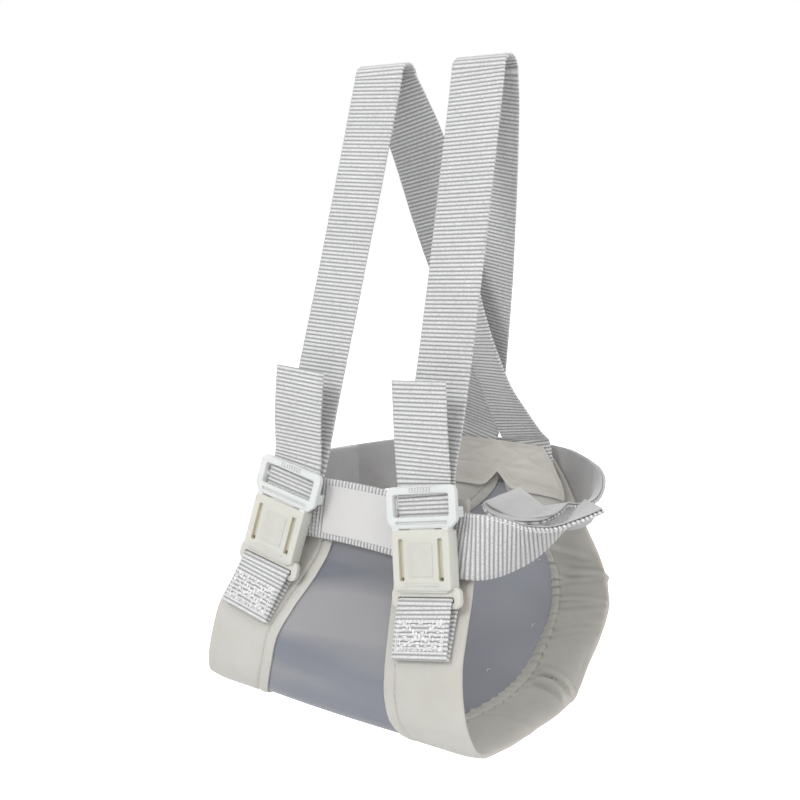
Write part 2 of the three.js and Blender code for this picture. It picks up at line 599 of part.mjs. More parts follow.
// The upper half: a frame round the webbing, with the lock bar behind its window and the tongue.
function adjuster() {
  const inner = WEBBING_WIDTH / 2 + CLEARANCE * 2;
  const outer = FRAME_WIDTH / 2;
  const windowBottom = TOP_BAR + WINDOW_HEIGHT;
  const frame = extruded(plate(FRAME_WIDTH, 0, FRAME_HEIGHT, FRAME_CORNER), 0, FRAME_THICK)
    .subtract(extruded(plate(inner * 2, TOP_BAR, windowBottom, 1), -1, FRAME_THICK + 1));
  const cheekTop = LOCK_BAR_DOWN - LOCK_BAR_DIAMETER * 1.5;
  const cheekBack = LOCK_BAR_BACK + LOCK_BAR_DIAMETER * 0.7;
  const cheekDeep = LOCK_BAR_DOWN + LOCK_BAR_DIAMETER;
  const cheek = (side) => {
    const [a, b] = side > 0 ? [inner, outer - 0.5] : [0.5 - outer, -inner];
    return box(a, b, FRAME_THICK - 0.5, cheekBack, cheekTop, cheekDeep);
  };
  const rod = new THREE.CylinderGeometry(LOCK_BAR_DIAMETER / 2, LOCK_BAR_DIAMETER / 2, inner * 2 + 2, 12);
  const bar = solid(rod.rotateZ(Math.PI / 2).translate(0, LOCK_BAR_BACK, -LOCK_BAR_DOWN));
  const tongueHalf = TONGUE_WIDTH / 2;
  const tongueEnd = FRAME_HEIGHT + TONGUE_LENGTH;
  const tongue = box(-tongueHalf, tongueHalf, TONGUE_BACK, FRAME_THICK, FRAME_HEIGHT - 1, tongueEnd);
  return geometryOf(frame.add(cheek(-1)).add(cheek(1)).add(bar).add(tongue));
}

// The lower half: a body with two side slots and the loop that holds the tab.
function socket() {
  const outline = plate(SOCKET_WIDTH, SOCKET_TOP, SOCKET_BOTTOM, 1.5);
  const body = extruded(outline, -SOCKET_PROUD, SOCKET_THICK - SOCKET_PROUD);
  const ears = plate(LOOP_WIDTH, BUCKLE_BOTTOM - LOOP_HEIGHT, BUCKLE_BOTTOM, FRAME_CORNER);
  const loop = extruded(ears, LOOP_BACK, LOOP_BACK + FRAME_THICK);
  const slitBottom = BUCKLE_BOTTOM - LOOP_BAR;
  const slitTop = LOOP_BAR_DOWN - TAB_LOOP - WEBBING_THICK / 2 - CLEARANCE;
  const slit = extruded(plate(TAB_WIDTH + CLEARANCE * 3, slitTop, slitBottom, 0.6), -THROUGH, THROUGH);
  const slotMiddle = (SOCKET_TOP + SOCKET_BOTTOM) / 2;
  const slots = [-1, 1].map((side) => {
    const x = (side * SLOT_SPACING) / 2;
    const [left, right] = [x - SLOT_WIDTH / 2, x + SLOT_WIDTH / 2];
    return box(left, right, -THROUGH, THROUGH, slotMiddle - SLOT_HEIGHT / 2, slotMiddle + SLOT_HEIGHT / 2);
  });
  const room = TONGUE_WIDTH / 2 + CLEARANCE;
  const pocketEnd = FRAME_HEIGHT + TONGUE_LENGTH + CLEARANCE;
  const [pocketFront, pocketBack] = [TONGUE_BACK - CLEARANCE, FRAME_THICK + CLEARANCE];
  const pocket = box(-room, room, pocketFront, pocketBack, SOCKET_TOP - 1, pocketEnd);
  return geometryOf(body.add(loop).subtract(slit).subtract(slots[0]).subtract(slots[1]).subtract(pocket));
}

const brace = new THREE.Group();
brace.position.set(0, -BAR_BACK, -(BAR_HEIGHT + BAR_DIAMETER / 2));

function piece(name, geometry, look, group = brace) {
  const mesh = new THREE.Mesh(geometry, look);
  mesh.name = name;
  group.add(mesh);
}

piece("shell", shell(), PLASTIC);
piece("edge_band_right", edgeBand(), VINYL);
piece("edge_band_left", mirrored(edgeBand()), VINYL);
piece("back_patch", patch(), VINYL);
piece("strap_right", strap(1), WEBBING);
piece("strap_left", mirrored(strap(-1)), WEBBING);
piece("tab_right", tab(), WEBBING);
piece("tab_left", mirrored(tab()), WEBBING);
for (const [name, side] of [["right", 1], ["left", -1]]) {
  const buckle = new THREE.Group();
  placeBuckle(buckle, side);
  piece("buckle_adjuster_" + name, adjuster(), ADJUSTER, buckle);
  piece("buckle_socket_" + name, socket(), SOCKET, buckle);
  brace.add(buckle);
}
piece("belt_front", wall(ribbon(frontRows, WEBBING_WIDTH), WEBBING_THICK, WEBBING_OUT), WEBBING);
piece("belt_front_lining", wall(ribbon(frontRows, WEBBING_WIDTH), LINING_THICK, -LINING_IN), LINING);
piece("belt_back", wall(ribbon(backRows, WEBBING_WIDTH), WEBBING_THICK, -WEBBING_OUT), WEBBING);
piece("belt_back_lining", wall(ribbon(backRows, WEBBING_WIDTH), LINING_THICK, LINING_IN), LINING);
piece("belt_label", label(), LABEL);

const root = new THREE.Group();
root.add(brace);
export default root;
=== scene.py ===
# %% [markdown]
# # An infant's hip abduction brace, dressed for the camera
#
# The CAD model gives the places and the sizes. This lesson lays finer pieces over it: ribbed
# webbing, folded and sewn vinyl, a clear plastic saddle and moulded buckles. Everything is in
# metres, with +Z up, and the origin is on top of the bar that the shoulder straps hang from.

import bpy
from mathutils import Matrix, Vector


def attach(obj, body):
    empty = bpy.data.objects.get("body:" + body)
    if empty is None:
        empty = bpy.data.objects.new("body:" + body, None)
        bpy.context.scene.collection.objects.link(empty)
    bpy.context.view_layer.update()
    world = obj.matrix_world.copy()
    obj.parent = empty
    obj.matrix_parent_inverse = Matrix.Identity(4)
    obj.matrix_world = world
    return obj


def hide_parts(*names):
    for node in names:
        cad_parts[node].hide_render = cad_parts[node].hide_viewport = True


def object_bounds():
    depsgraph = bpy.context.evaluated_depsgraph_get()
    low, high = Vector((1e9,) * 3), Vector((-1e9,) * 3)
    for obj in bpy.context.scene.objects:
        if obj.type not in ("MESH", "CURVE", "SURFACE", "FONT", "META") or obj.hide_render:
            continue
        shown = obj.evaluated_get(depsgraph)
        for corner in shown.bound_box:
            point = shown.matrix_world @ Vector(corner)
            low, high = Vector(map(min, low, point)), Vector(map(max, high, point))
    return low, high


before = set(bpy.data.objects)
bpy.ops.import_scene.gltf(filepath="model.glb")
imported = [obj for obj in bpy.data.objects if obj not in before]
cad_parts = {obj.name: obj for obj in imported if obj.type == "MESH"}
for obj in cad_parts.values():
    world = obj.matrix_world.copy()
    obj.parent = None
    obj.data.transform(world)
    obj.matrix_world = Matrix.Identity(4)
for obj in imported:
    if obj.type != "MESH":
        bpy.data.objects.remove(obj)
cad_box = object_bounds()
print("CAD box", [[round(c, 4) for c in corner] for corner in cad_box])

# %% Names that every cell uses
import math
import random

import bmesh
import bpy
from mathutils import Matrix, Vector, noise

MM = 0.001
RIGHT = 1
LEFT = -1
SIDES = {"right": RIGHT, "left": LEFT}
FLIP = Vector((-1, 1, 1))


def linked(name, data):
    """A new object in the scene."""
    item = bpy.data.objects.new(name, data)
    bpy.context.scene.collection.objects.link(item)
    return item


# %% [markdown]
# ## The camera
#
# The photograph looks at the brace from its front right and from a little above. A camera can be
# turned by hand until the pieces line up, or worked out from points that are mirrored on the
# object. This one was worked out from mirrored points on the straps and buckles, so both halves
# fall where the photograph has them.

# %% Camera
CAMERA_PLACE = Vector((0.3134, -0.477, -0.0733))
CAMERA_AZIMUTH = math.radians(35)
CAMERA_ELEVATION = math.radians(9.7)

camera_data = bpy.data.cameras.new("camera")
camera_data.lens = 49.5
camera_data.sensor_width = 36
camera = linked("camera", camera_data)
camera.location = CAMERA_PLACE
camera.rotation_euler = (math.pi / 2 - CAMERA_ELEVATION, 0, CAMERA_AZIMUTH)
bpy.context.scene.camera = camera
print("camera at", tuple(CAMERA_PLACE))

# %% [markdown]
# ## Sizes
#
# The visual pieces lie on the same surfaces as the CAD solids, so their tables are repeated here
# in millimetres, measured from the tops of the buckles. One step moves them to the bar's frame.

# %% Sizes of the sheets and the bar
FROM_BAR = Vector((0, -69.5, -199.8))
WEBBING_WIDTH = 30
WEBBING_THICK = 1.6
LINING_THICK = 0.8
VINYL_THICK = 1
LABEL_THICK = 0.3
CLEARANCE = 0.3
SADDLE_DEPTH = 145
BAND_HALF = 2.1
BAR_BACK = 69.5
BAR_HEIGHT = 194.3
BAR_RADIUS = 5.5


def placed(point):
    """A point of the tables, in metres from the bar."""
    return (point + FROM_BAR) * MM


# %% [markdown]
# ## Smooth lines through tables
#
# A table gives a few places that a sheet passes through. A Bezier curve object could join them, but
# a function that reads the line at any share of its length is easier to build grids on. This is a
# centripetal Catmull-Rom curve, which passes through each place and never loops between two.

# %% Smooth line
def smooth_line(places):
    """A function that gives the point at a share, 0 to 1, of the line through the places."""
    first = places[0] * 2 - places[1]
    last = places[-1] * 2 - places[-2]
    held = [first, *places, last]

    def at(share):
        spot = min(max(share, 0), 1) * (len(places) - 1)
        index = min(int(spot), len(places) - 2)
        part = spot - index
        a, b, c, d = held[index:index + 4]
        gap_1 = math.sqrt((c - b).length) or 1
        gap_0 = math.sqrt((b - a).length) or gap_1
        gap_2 = math.sqrt((d - c).length) or gap_1
        leave = ((b - a) / gap_0 - (c - a) / (gap_0 + gap_1) + (c - b) / gap_1) * gap_1
        reach = ((c - b) / gap_1 - (d - b) / (gap_1 + gap_2) + (d - c) / gap_2) * gap_1
        square = (c - b) * 3 - leave * 2 - reach
        cube = (b - c) * 2 + leave + reach
        return b + leave * part + square * part**2 + cube * part**3

    return at


# %% [markdown]
# ## Sheets from a grid
#
# Webbing, vinyl and plastic are all sheets. `create_grid` makes the flat sheet with as many squares
# as the finish needs, and each corner is then moved onto the surface. The grid's own corners also
# give the UV map, in metres along and across the sheet, so that a weave follows every bend.

# %% Grid helpers
def laid_grid(columns, rows, place, plan):
    """A bmesh grid whose corners are moved to place(column, row), with UVs from plan."""
    bm = bmesh.new()
    uv_layer = bm.loops.layers.uv.new("UVMap")
    bmesh.ops.create_grid(bm, x_segments=columns, y_segments=rows, size=1)
    bm.verts.index_update()
    for vert in bm.verts:
        row, column = divmod(vert.index, columns + 1)
        vert.co = place(column, row)
    for face in bm.faces:
        for loop in face.loops:
            row, column = divmod(loop.vert.index, columns + 1)
            loop[uv_layer].uv = plan(column, row)
    return bm


def closed_tube(bm):
    """Joins a rolled grid along its seam, closes its ends and turns its faces outwards."""
    bmesh.ops.remove_doubles(bm, verts=bm.verts, dist=0.004 * MM)
    open_edges = [edge for edge in bm.edges if edge.is_boundary]
    if open_edges:
        bmesh.ops.holes_fill(bm, edges=open_edges, sides=0)
    bmesh.ops.recalc_face_normals(bm, faces=bm.faces)


def finished(bm, name, replaced, materials, smooth=60):
    """Makes the piece's object, gives it its finish and ties it to the frame."""
    mesh = bpy.data.meshes.new(name)
    bm.to_mesh(mesh)
    bm.free()
    for material in materials:
        mesh.materials.append(material)
    for polygon in mesh.polygons:
        polygon.use_smooth = True
    mesh.set_sharp_from_angle(angle=math.radians(smooth))
    piece = linked(name, mesh)
    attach(piece, "root")
    if replaced:
        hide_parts(*replaced)
    print(name, len(mesh.polygons), "faces")
    return piece


def finished_sheet(bm, name, replaced, material, thickness):
    """Finishes an open sheet and gives it its thickness, half to each side."""
    bmesh.ops.recalc_face_normals(bm, faces=bm.faces)
    piece = finished(bm, name, replaced, [material])
    solid = piece.modifiers.new("thickness", "SOLIDIFY")
    solid.thickness = thickness * MM
    solid.offset = 0
    return piece


def even_plan(across, along):
    """A UV plan for a sheet whose squares all have one size in millimetres."""
    return lambda column, row: (column * across * MM, row * along * MM)


# %% [markdown]
# ## Materials
#
# A node group is built once for each effect that several finishes share. The small helpers below
# add a node, set its sockets by name and link the ones that are given another node's output.

# %% Node helpers
def feed(tree, socket, value):
    """Links a socket to another node's output, or sets its value."""
    if isinstance(value, bpy.types.NodeSocket):
        tree.links.new(value, socket)
    else:
        socket.default_value = value


def add(tree, kind, inputs=None, **settings):
    """A new node in the tree; inputs are values or another node's output, by socket name."""
    node = tree.nodes.new("ShaderNode" + kind)
    for key, value in settings.items():
        setattr(node, key, value)
    for key, value in (inputs or {}).items():
        feed(tree, node.inputs[key], value)
    return node


def new_group(name, inputs, outputs):
    """A shader node group with its sockets, and its input and output nodes."""
    group = bpy.data.node_groups.new(name, "ShaderNodeTree")
    for label, kind in inputs:
        group.interface.new_socket(label, in_out="INPUT", socket_type="NodeSocket" + kind)
    for label, kind in outputs:
        group.interface.new_socket(label, in_out="OUTPUT", socket_type="NodeSocket" + kind)
    entry = group.nodes.new("NodeGroupInput")
    leave = group.nodes.new("NodeGroupOutput")
    return group, entry.outputs, leave.inputs


def new_material(name, **constants):
    """A material with a Principled shader, whose constants stand on its own sockets."""
    material = bpy.data.materials.new(name)
    material.use_nodes = True
    shader = material.node_tree.nodes["Principled BSDF"]
    for key, value in constants.items():
        shader.inputs[key.replace("_", " ").title().replace("Ior", "IOR")].default_value = value
    return material, material.node_tree, shader.inputs


# %% Helpers for one kind of node each
def mixed(tree, share, first, second):
    """Two colours mixed by a share."""
    node = add(tree, "Mix", data_type="RGBA")
    for index, value in ((0, share), (6, first), (7, second)):
        feed(tree, node.inputs[index], value)
    return node.outputs[2]


def sums(tree, operation, *values):
    """One Math node."""
    node = add(tree, "Math", operation=operation)
    for socket, value in zip(node.inputs, values):
        feed(tree, socket, value)
    return node.outputs[0]


def ramp(tree, value, low, high, least=0.0, most=1.0):
    """A value that goes from least to most between two limits."""
    inputs = {"Value": value, "From Min": low, "From Max": high, "To Min": least, "To Max": most}
    return add(tree, "MapRange", inputs).outputs[0]


def noisy(tree, coords, scale, detail, roughness=0.5, distortion=0.0):
    """Noise over the coordinates."""
    inputs = {"Vector": coords, "Scale": scale, "Detail": detail}
    inputs |= {"Roughness": roughness, "Distortion": distortion}
    return add(tree, "TexNoise", inputs).outputs[0]


def cells(tree, coords, scale, feature="F1"):
    """The distance from the middles of small random cells."""
    inputs = {"Vector": coords, "Scale": scale, "Randomness": 1.0}
    return add(tree, "TexVoronoi", inputs, feature=feature).outputs["Distance"]


def bumped(tree, height, strength, depth):
    """A bump node, its depth in millimetres."""
    return add(tree, "Bump", {"Height": height, "Strength": strength, "Distance": depth * MM})


def dressed(tree, shader, colour, rough, bump):
    """Feeds the shader's sockets that change over the surface."""
    for key, value in (("Base Color", colour), ("Roughness", rough), ("Normal", bump.outputs[0])):
        tree.links.new(value, shader[key])


# %% [markdown]
# ### Soil and fading
#
# White cloth and vinyl are never one white. Large soft patches of a slightly darker, yellower tone
# are used on every finish, so this effect is a group. Noise in Object coordinates keeps the patches
# in place on the piece.

# %% Tone group
tone_group, tone_in, tone_out = new_group(
    "uneven_tone",
    [("Color", "Color"), ("Soiled", "Color"), ("Patch Size", "Float"), ("Amount", "Float")],
    [("Color", "Color"), ("Mask", "Float")],
)
tone_coords = add(tone_group, "TexCoord").outputs["Object"]
tone_noise = noisy(tone_group, tone_coords, tone_in["Patch Size"], 4.0, 0.6)
tone_mask = ramp(tone_group, tone_noise, 0.35, 0.7, 0.0, tone_in["Amount"])
tone_colour = mixed(tone_group, tone_mask, tone_in["Color"], tone_in["Soiled"])
tone_group.links.new(tone_colour, tone_out["Color"])
tone_group.links.new(tone_mask, tone_out["Mask"])
print("group", tone_group.name)


def uneven(tree, colour, soiled, size, amount):
    """The tone group placed in a material, with its own values."""
    inputs = {"Color": colour, "Soiled": soiled, "Patch Size": size, "Amount": amount}
    return add(tree, "Group", inputs, node_tree=tone_group).outputs


# %% [markdown]
# ### Webbing
#
# The straps are heavy polyester webbing with a straight rib every two millimetres. The ribs are
# modelled, because their shadows carry the look. The threads that cross each rib are too fine for
# that, so they are a bump: a wave across the strap that shifts by half a thread on the next rib.
# The colour adds painted shade in the grooves and painted light on the rib crests.

# %% Webbing material
RIB_PITCH = 2.0
THREAD_PITCH = 0.62


def webbing_material(name, light, groove_shade_and_soil):
    """Ribbed webbing, with painted light on its rib crests and painted shade in its grooves."""
    material, tree, shader = new_material(
        name, sheen_weight=0.25, sheen_roughness=0.5, specular_ior_level=0.35
    )
    coords = add(tree, "TexCoord").outputs
    split = add(tree, "SeparateXYZ", {"Vector": coords["UV"]}).outputs
    rib = sums(tree, "DIVIDE", split["Y"], RIB_PITCH * MM)
    rib_part = sums(tree, "FRACT", rib)
    crest = sums(tree, "SINE", sums(tree, "MULTIPLY", rib_part, math.pi))
    shift = sums(tree, "MULTIPLY", sums(tree, "FLOOR", rib), 0.5)
    thread = sums(tree, "ADD", sums(tree, "DIVIDE", split["X"], THREAD_PITCH * MM), shift)
    slant = sums(tree, "ADD", thread, sums(tree, "MULTIPLY", rib_part, 0.45))
    wave = sums(tree, "ABSOLUTE", sums(tree, "SINE", sums(tree, "MULTIPLY", slant, math.pi)))
    fibre = noisy(tree, coords["Object"], 2600.0, 2.0)
    height = sums(tree, "MULTIPLY_ADD", wave, 0.6, sums(tree, "MULTIPLY", fibre, 0.5))
    specks = sums(tree, "MULTIPLY_ADD", cells(tree, coords["Object"], 1150.0), -0.55, 1.12)
    threads = sums(tree, "MULTIPLY", sums(tree, "MULTIPLY_ADD", wave, 0.42, 0.6), specks)
    # Painted shade and light: the colour runs from the groove colour in the grooves to the bright tone on
    # the crests; the groove colour also tints the soiled patches.
    lit = sums(tree, "MULTIPLY", sums(tree, "POWER", crest, 1.15), threads)
    colour = mixed(tree, lit, groove_shade_and_soil, uneven(tree, light, groove_shade_and_soil, 40.0, 0.12)["Color"])
    rough = sums(tree, "MULTIPLY_ADD", fibre, 0.2, 0.45)
    dressed(tree, shader, colour, rough, bumped(tree, height, 0.9, 0.2))
    return material


webbing = webbing_material("webbing_white", (0.96, 0.96, 0.96, 1), (0.3, 0.3, 0.31, 1))
print("material", webbing.name)

# %% [markdown]
# ### Vinyl
#
# The bands and the back patch are soft ivory vinyl on cloth, with a fine leather grain and small
# creases from sewing. Voronoi cells make the grain and distorted noise the creases.

# %% Vinyl material
def vinyl_material(name, colour, soiled):
    """Soft vinyl with grain and sewing creases."""
    material, tree, shader = new_material(
        name, specular_ior_level=0.4, subsurface_weight=0.05, coat_weight=0.06, coat_roughness=0.35
    )
    coords = add(tree, "TexCoord").outputs["Object"]
    grain = bumped(tree, cells(tree, coords, 1500.0, "SMOOTH_F1"), 0.25, 0.15)
    creases = bumped(tree, noisy(tree, coords, 70.0, 5.0, 0.55, 0.6), 0.4, 1.6)
    tree.links.new(grain.outputs[0], creases.inputs["Normal"])
    tone = uneven(tree, colour, soiled, 34.0, 0.45)
    rough = sums(tree, "MULTIPLY_ADD", tone["Mask"], 0.25, 0.4)
    dressed(tree, shader, tone["Color"], rough, creases)
    return material


vinyl = vinyl_material("vinyl_ivory", (0.575, 0.555, 0.515, 1), (0.49, 0.46, 0.41, 1))
# Painted light: the back patch takes a lighter copy of the same ivory vinyl, for the brighter light it
# catches.
painted_light_vinyl = vinyl_material("vinyl_ivory_painted_light", (0.7, 0.665, 0.615, 1), (0.6, 0.56, 0.5, 1))
print("materials", vinyl.name, painted_light_vinyl.name)

# %% [markdown]
# ### Clear plastic
#
# The saddle is a sheet of clear plastic that looks lavender grey. Glass with a tint would be too
# clean, so part of the light is scattered by the surface, and fine scuffs make it rough in places.
# Slanting pale bands are painted reflections of the windows that such a sheet mirrors, and they fade to the
# back. The rear of the sheet is painted lighter, and the front is painted darker towards its top, as painted
# shade under the belt.

# %% Saddle material
clear, tree, shader = new_material(
    "plastic_clear", transmission_weight=0.35, ior=1.49, specular_ior_level=0.5, metallic=0.0
)
coords = add(tree, "TexCoord").outputs["Object"]
smeared = add(tree, "Mapping", {"Vector": coords, "Scale": (6.0, 30.0, 30.0)}).outputs[0]
turned = add(
    tree, "Mapping",
    {"Vector": coords, "Rotation": (0, math.radians(-34), 0), "Scale": (3.2, 4.0, 21.0)},
).outputs[0]
# Painted reflection: pale slanting bands, strongest at the front.
painted_reflections = ramp(tree, noisy(tree, turned, 1.5, 1.5, distortion=0.4), 0.47, 0.66)
split = add(tree, "SeparateXYZ", {"Vector": coords}).outputs
in_front = ramp(tree, split["Y"], -30 * MM, -62 * MM, 0.12, 0.7)
# Painted light: the rear of the sheet is made lighter.
behind = ramp(tree, split["Y"], -58 * MM, -25 * MM, 0.0, 0.75)
# Painted shade: the front darkens towards its top, under the belt.
belt_shade_share = ramp(tree, split["Z"], -290 * MM, -255 * MM, 0.0, 0.8)
tone = uneven(tree, (0.3, 0.318, 0.372, 1), (0.35, 0.365, 0.415, 1), 14.0, 0.5)
rear_painted_light = mixed(tree, behind, tone["Color"], (0.44, 0.455, 0.5, 1))
shaded = mixed(tree, sums(tree, "MULTIPLY", belt_shade_share, in_front), rear_painted_light, (0.16, 0.17, 0.2, 1))
with_painted_reflections = mixed(tree, sums(tree, "MULTIPLY", painted_reflections, in_front), shaded, (0.49, 0.48, 0.485, 1))
rough = sums(tree, "MULTIPLY_ADD", noisy(tree, smeared, 1.2, 5.0), 0.25, 0.1)
dressed(tree, shader, with_painted_reflections, rough, bumped(tree, noisy(tree, coords, 420.0, 2.0), 0.06, 0.1))
print("material", clear.name)

# %% [markdown]
# ### Moulded plastics
#
# The buckle's upper half is milky and lets some light through; the lower half is dense ivory. Both
# come from one function, with a faint orange-peel skin.

# %% Buckle materials
def moulded_material(name, colour, soiled, transmission, roughness):
    """Moulded plastic with a soft skin."""
    material, tree, shader = new_material(
        name, transmission_weight=transmission, ior=1.46, subsurface_weight=0.1, specular_ior_level=0.45
    )
    skin = noisy(tree, add(tree, "TexCoord").outputs["Object"], 520.0, 3.0)
    tone = uneven(tree, colour, soiled, 90.0, 0.5)
    rough = sums(tree, "MULTIPLY_ADD", tone["Mask"], 0.3, roughness)
    dressed(tree, shader, tone["Color"], rough, bumped(tree, skin, 0.12, 0.1))
    return material


adjuster_plastic = moulded_material(
    "plastic_milky", (0.83, 0.83, 0.815, 1), (0.75, 0.75, 0.73, 1), 0.1, 0.28
)
socket_plastic = moulded_material(
    "plastic_ivory", (0.67, 0.65, 0.595, 1), (0.61, 0.575, 0.5, 1), 0.0, 0.33
)
# Painted shade: the slots' walls and floors take a darker, yellower copy of the ivory plastic.
slot_shade_plastic = moulded_material(
    "plastic_ivory_slot_shade", (0.62, 0.59, 0.48, 1), (0.52, 0.48, 0.36, 1), 0.0, 0.45
)
print("materials", adjuster_plastic.name, socket_plastic.name, slot_shade_plastic.name)

# %% [markdown]
# ### Lining, label and thread
#
# The belt's inner face is a grey brushed loop fabric: fine noise and a strong sheen give its fuzz.
# The label is a bare satin ribbon with threads that run along it. The seams are sewn in twisted
# polyester thread, which shows as small bright stitches.

# %% Cloth materials
lining, tree, shader = new_material(
    "lining_grey", sheen_weight=0.5, sheen_roughness=0.6, specular_ior_level=0.15
)
fuzz = noisy(tree, add(tree, "TexCoord").outputs["Object"], 900.0, 6.0, 0.7)
tone = uneven(tree, (0.47, 0.465, 0.465, 1), (0.38, 0.375, 0.375, 1), 60.0, 0.6)
rough = sums(tree, "MULTIPLY_ADD", fuzz, 0.2, 0.75)
dressed(tree, shader, tone["Color"], rough, bumped(tree, fuzz, 0.6, 0.4))

satin, tree, shader = new_material(
    "satin_white", sheen_weight=0.3, sheen_roughness=0.3, specular_ior_level=0.6
)
coords = add(tree, "TexCoord").outputs["UV"]
stretched = add(tree, "Mapping", {"Vector": coords, "Scale": (4000.0, 300.0, 1.0)}).outputs[0]
fibres = noisy(tree, stretched, 1.0, 2.0)
tone = uneven(tree, (0.64, 0.635, 0.63, 1), (0.58, 0.575, 0.57, 1), 80.0, 0.4)
rough = sums(tree, "MULTIPLY_ADD", fibres, 0.2, 0.3)
dressed(tree, shader, tone["Color"], rough, bumped(tree, fibres, 0.2, 0.1))


def thread_material(name, colour, soiled):
    """Twisted sewing thread."""
    material, tree, shader = new_material(name, sheen_weight=0.3, specular_ior_level=0.4)
    coords = add(tree, "TexCoord").outputs["Object"]
    twist = add(tree, "TexWave", {"Vector": coords, "Scale": 700.0, "Distortion": 1.0}).outputs["Fac"]
    tone = uneven(tree, colour, soiled, 60.0, 0.5)
    rough = sums(tree, "MULTIPLY_ADD", twist, 0.15, 0.5)
    dressed(tree, shader, tone["Color"], rough, bumped(tree, twist, 0.3, 0.08))
    return material


white_thread = thread_material("thread_white", (0.9, 0.9, 0.9, 1), (0.78, 0.78, 0.78, 1))
ivory_thread = thread_material("thread_ivory", (0.66, 0.63, 0.55, 1), (0.52, 0.48, 0.4, 1))
print("materials", lining.name, satin.name, white_thread.name, ivory_thread.name)

# %% [markdown]
# ## Webbing pieces
#
# A strap is a closed flat tube: a grid whose columns run round the strap's section and whose rows
# follow its length, four rows to a rib. Extruding a profile along a curve object would make the
# same sheet without ribs; here each row is raised or lowered, so the ribs also notch the selvedge.

# %% Rows of a ribbon
def lengths_along(points):
    """How far each point lies along the line that joins them."""
    reached = [0.0]
    for a, b in zip(points, points[1:]):
        reached.append(reached[-1] + (b - a).length)
    return reached


def even_rows(rows, step):
    """Rows every step along a ribbon: middle, across, outwards and the distance from its start."""
    middle_line = smooth_line([middle for middle, _ in rows])
    across_line = smooth_line([across for _, across in rows])
    fine = len(rows) * 40
    samples = [middle_line(k / fine) for k in range(fine + 1)]
    reached = lengths_along(samples)
    count = max(2, round(reached[-1] / step))
    shares = []
    k = 0
    for i in range(count + 1):
        goal = reached[-1] * i / count
        while k < fine - 1 and reached[k + 1] < goal:
            k += 1
        part = (goal - reached[k]) / max(reached[k + 1] - reached[k], 1e-9)
        shares.append((k + part) / fine)
    middles = [middle_line(share) for share in shares]
    even = []
    for i, share in enumerate(shares):
        run = middles[min(i + 1, count)] - middles[max(i - 1, 0)]
        across = across_line(share)
        normal = run.cross(across).normalized()
        across = normal.cross(run).normalized()
        even.append((middles[i], across, normal, reached[-1] * i / count))
    return even


def ring_of(width, thick, faces):
    """The webbing's section: across, off and the way out at each corner, all the way round."""
    half = width / 2
    deep = thick / 2
    span = [-half + 0.6 + (width - 1.2) * k / (faces - 1) for k in range(faces)]
    right = [(half - 0.2, deep * 0.6, 0.7, 0.7), (half, 0, 1, 0), (half - 0.2, -deep * 0.6, 0.7, -0.7)]
    front = [(a, deep, 0, 1) for a in span]
    back = [(-a, -b, -c, -d) for a, b, c, d in front]
    left = [(-a, -b, -c, -d) for a, b, c, d in right]
    return [*front, *right, *back, *left]


RIB_SHAPE = (0.0, 0.78, 1.0, 0.78)
RIB_RISE = 0.5
SELVEDGE_RISE = 0.45


def ribbon_bmesh(rows, width, thick, shift, step, faces, relief):
    """A closed flat tube along the rows; relief gives each corner's rise across and outwards."""
    even = even_rows(rows, step)
    ring = ring_of(width, thick, faces)
    sides = len(ring)

    def place(column, row):
        middle, across, normal, distance = even[row]
        corner = ring[column % sides]
        wide, high = relief(row, distance, *corner)
        return placed(middle + across * (corner[0] + wide) + normal * (corner[1] + high + shift))

    def plan(column, row):
        return ((ring[column % sides][0] + width / 2) * MM, even[row][3] * MM)

    bm = laid_grid(sides, len(even) - 1, place, plan)
    closed_tube(bm)
    return bm


def webbing_bmesh(rows, shift=0.0):
    """A ribbed strap."""
    def ribs(row, distance, a, b, out_a, out_b):
        rise = (RIB_SHAPE[row % len(RIB_SHAPE)] - 0.7) * RIB_RISE
        wander = 0.25 * noise.noise(Vector((distance * 0.02, WEBBING_WIDTH, 3.1)))
        return out_a * rise * SELVEDGE_RISE + wander, out_b * rise

    return ribbon_bmesh(rows, WEBBING_WIDTH, WEBBING_THICK, shift, RIB_PITCH / len(RIB_SHAPE), 9, ribs)


def cloth_bmesh(rows, width, thick, shift, step, fuzz):
    """A smooth strip that is a little uneven."""
    def nap(row, distance, a, b, out_a, out_b):
        rise = fuzz * noise.noise(Vector((distance * 0.12, a * 0.12, 2.0 if b > 0 else 8.0)))
        return out_a * rise, out_b * rise

    return ribbon_bmesh(rows, width, thick, shift, step, 13, nap)


# %% [markdown]
# ## The buckles' places
#
# Each buckle leans forwards at its foot and rolls outwards with its strap. One matrix per side
# holds that, and everything on a buckle is given in the buckle's own frame: across, back from its
# face and down from its top edge.

# %% Buckle frame
def buckle_matrix(side):
    """The frame of a buckle, in the tables' millimetres."""
    turn = Matrix.Rotation(math.radians(-side * 11), 4, "Y") @ Matrix.Rotation(math.radians(-10.6), 4, "X")
    return Matrix.Translation((side * 38.25, 0.45, 2.35)) @ turn


RIGHT_BUCKLE = buckle_matrix(RIGHT)
BUCKLE_ACROSS = RIGHT_BUCKLE.to_3x3() @ Vector((1, 0, 0))
STRAP_FRONT = 4.1
STRAP_LOOP = 2.1
LOCK_BAR_BACK = 6.2
LOCK_BAR_DOWN = 13.2
STRAP_REAR = 8.3
LOOP_BAR_BACK = 2.25
LOOP_BAR_DOWN = 54.8
TAB_LOOP = 3.085


def in_buckle(back, down):
    """A point on the right buckle's middle plane."""
    return RIGHT_BUCKLE @ Vector((0, back, -down))


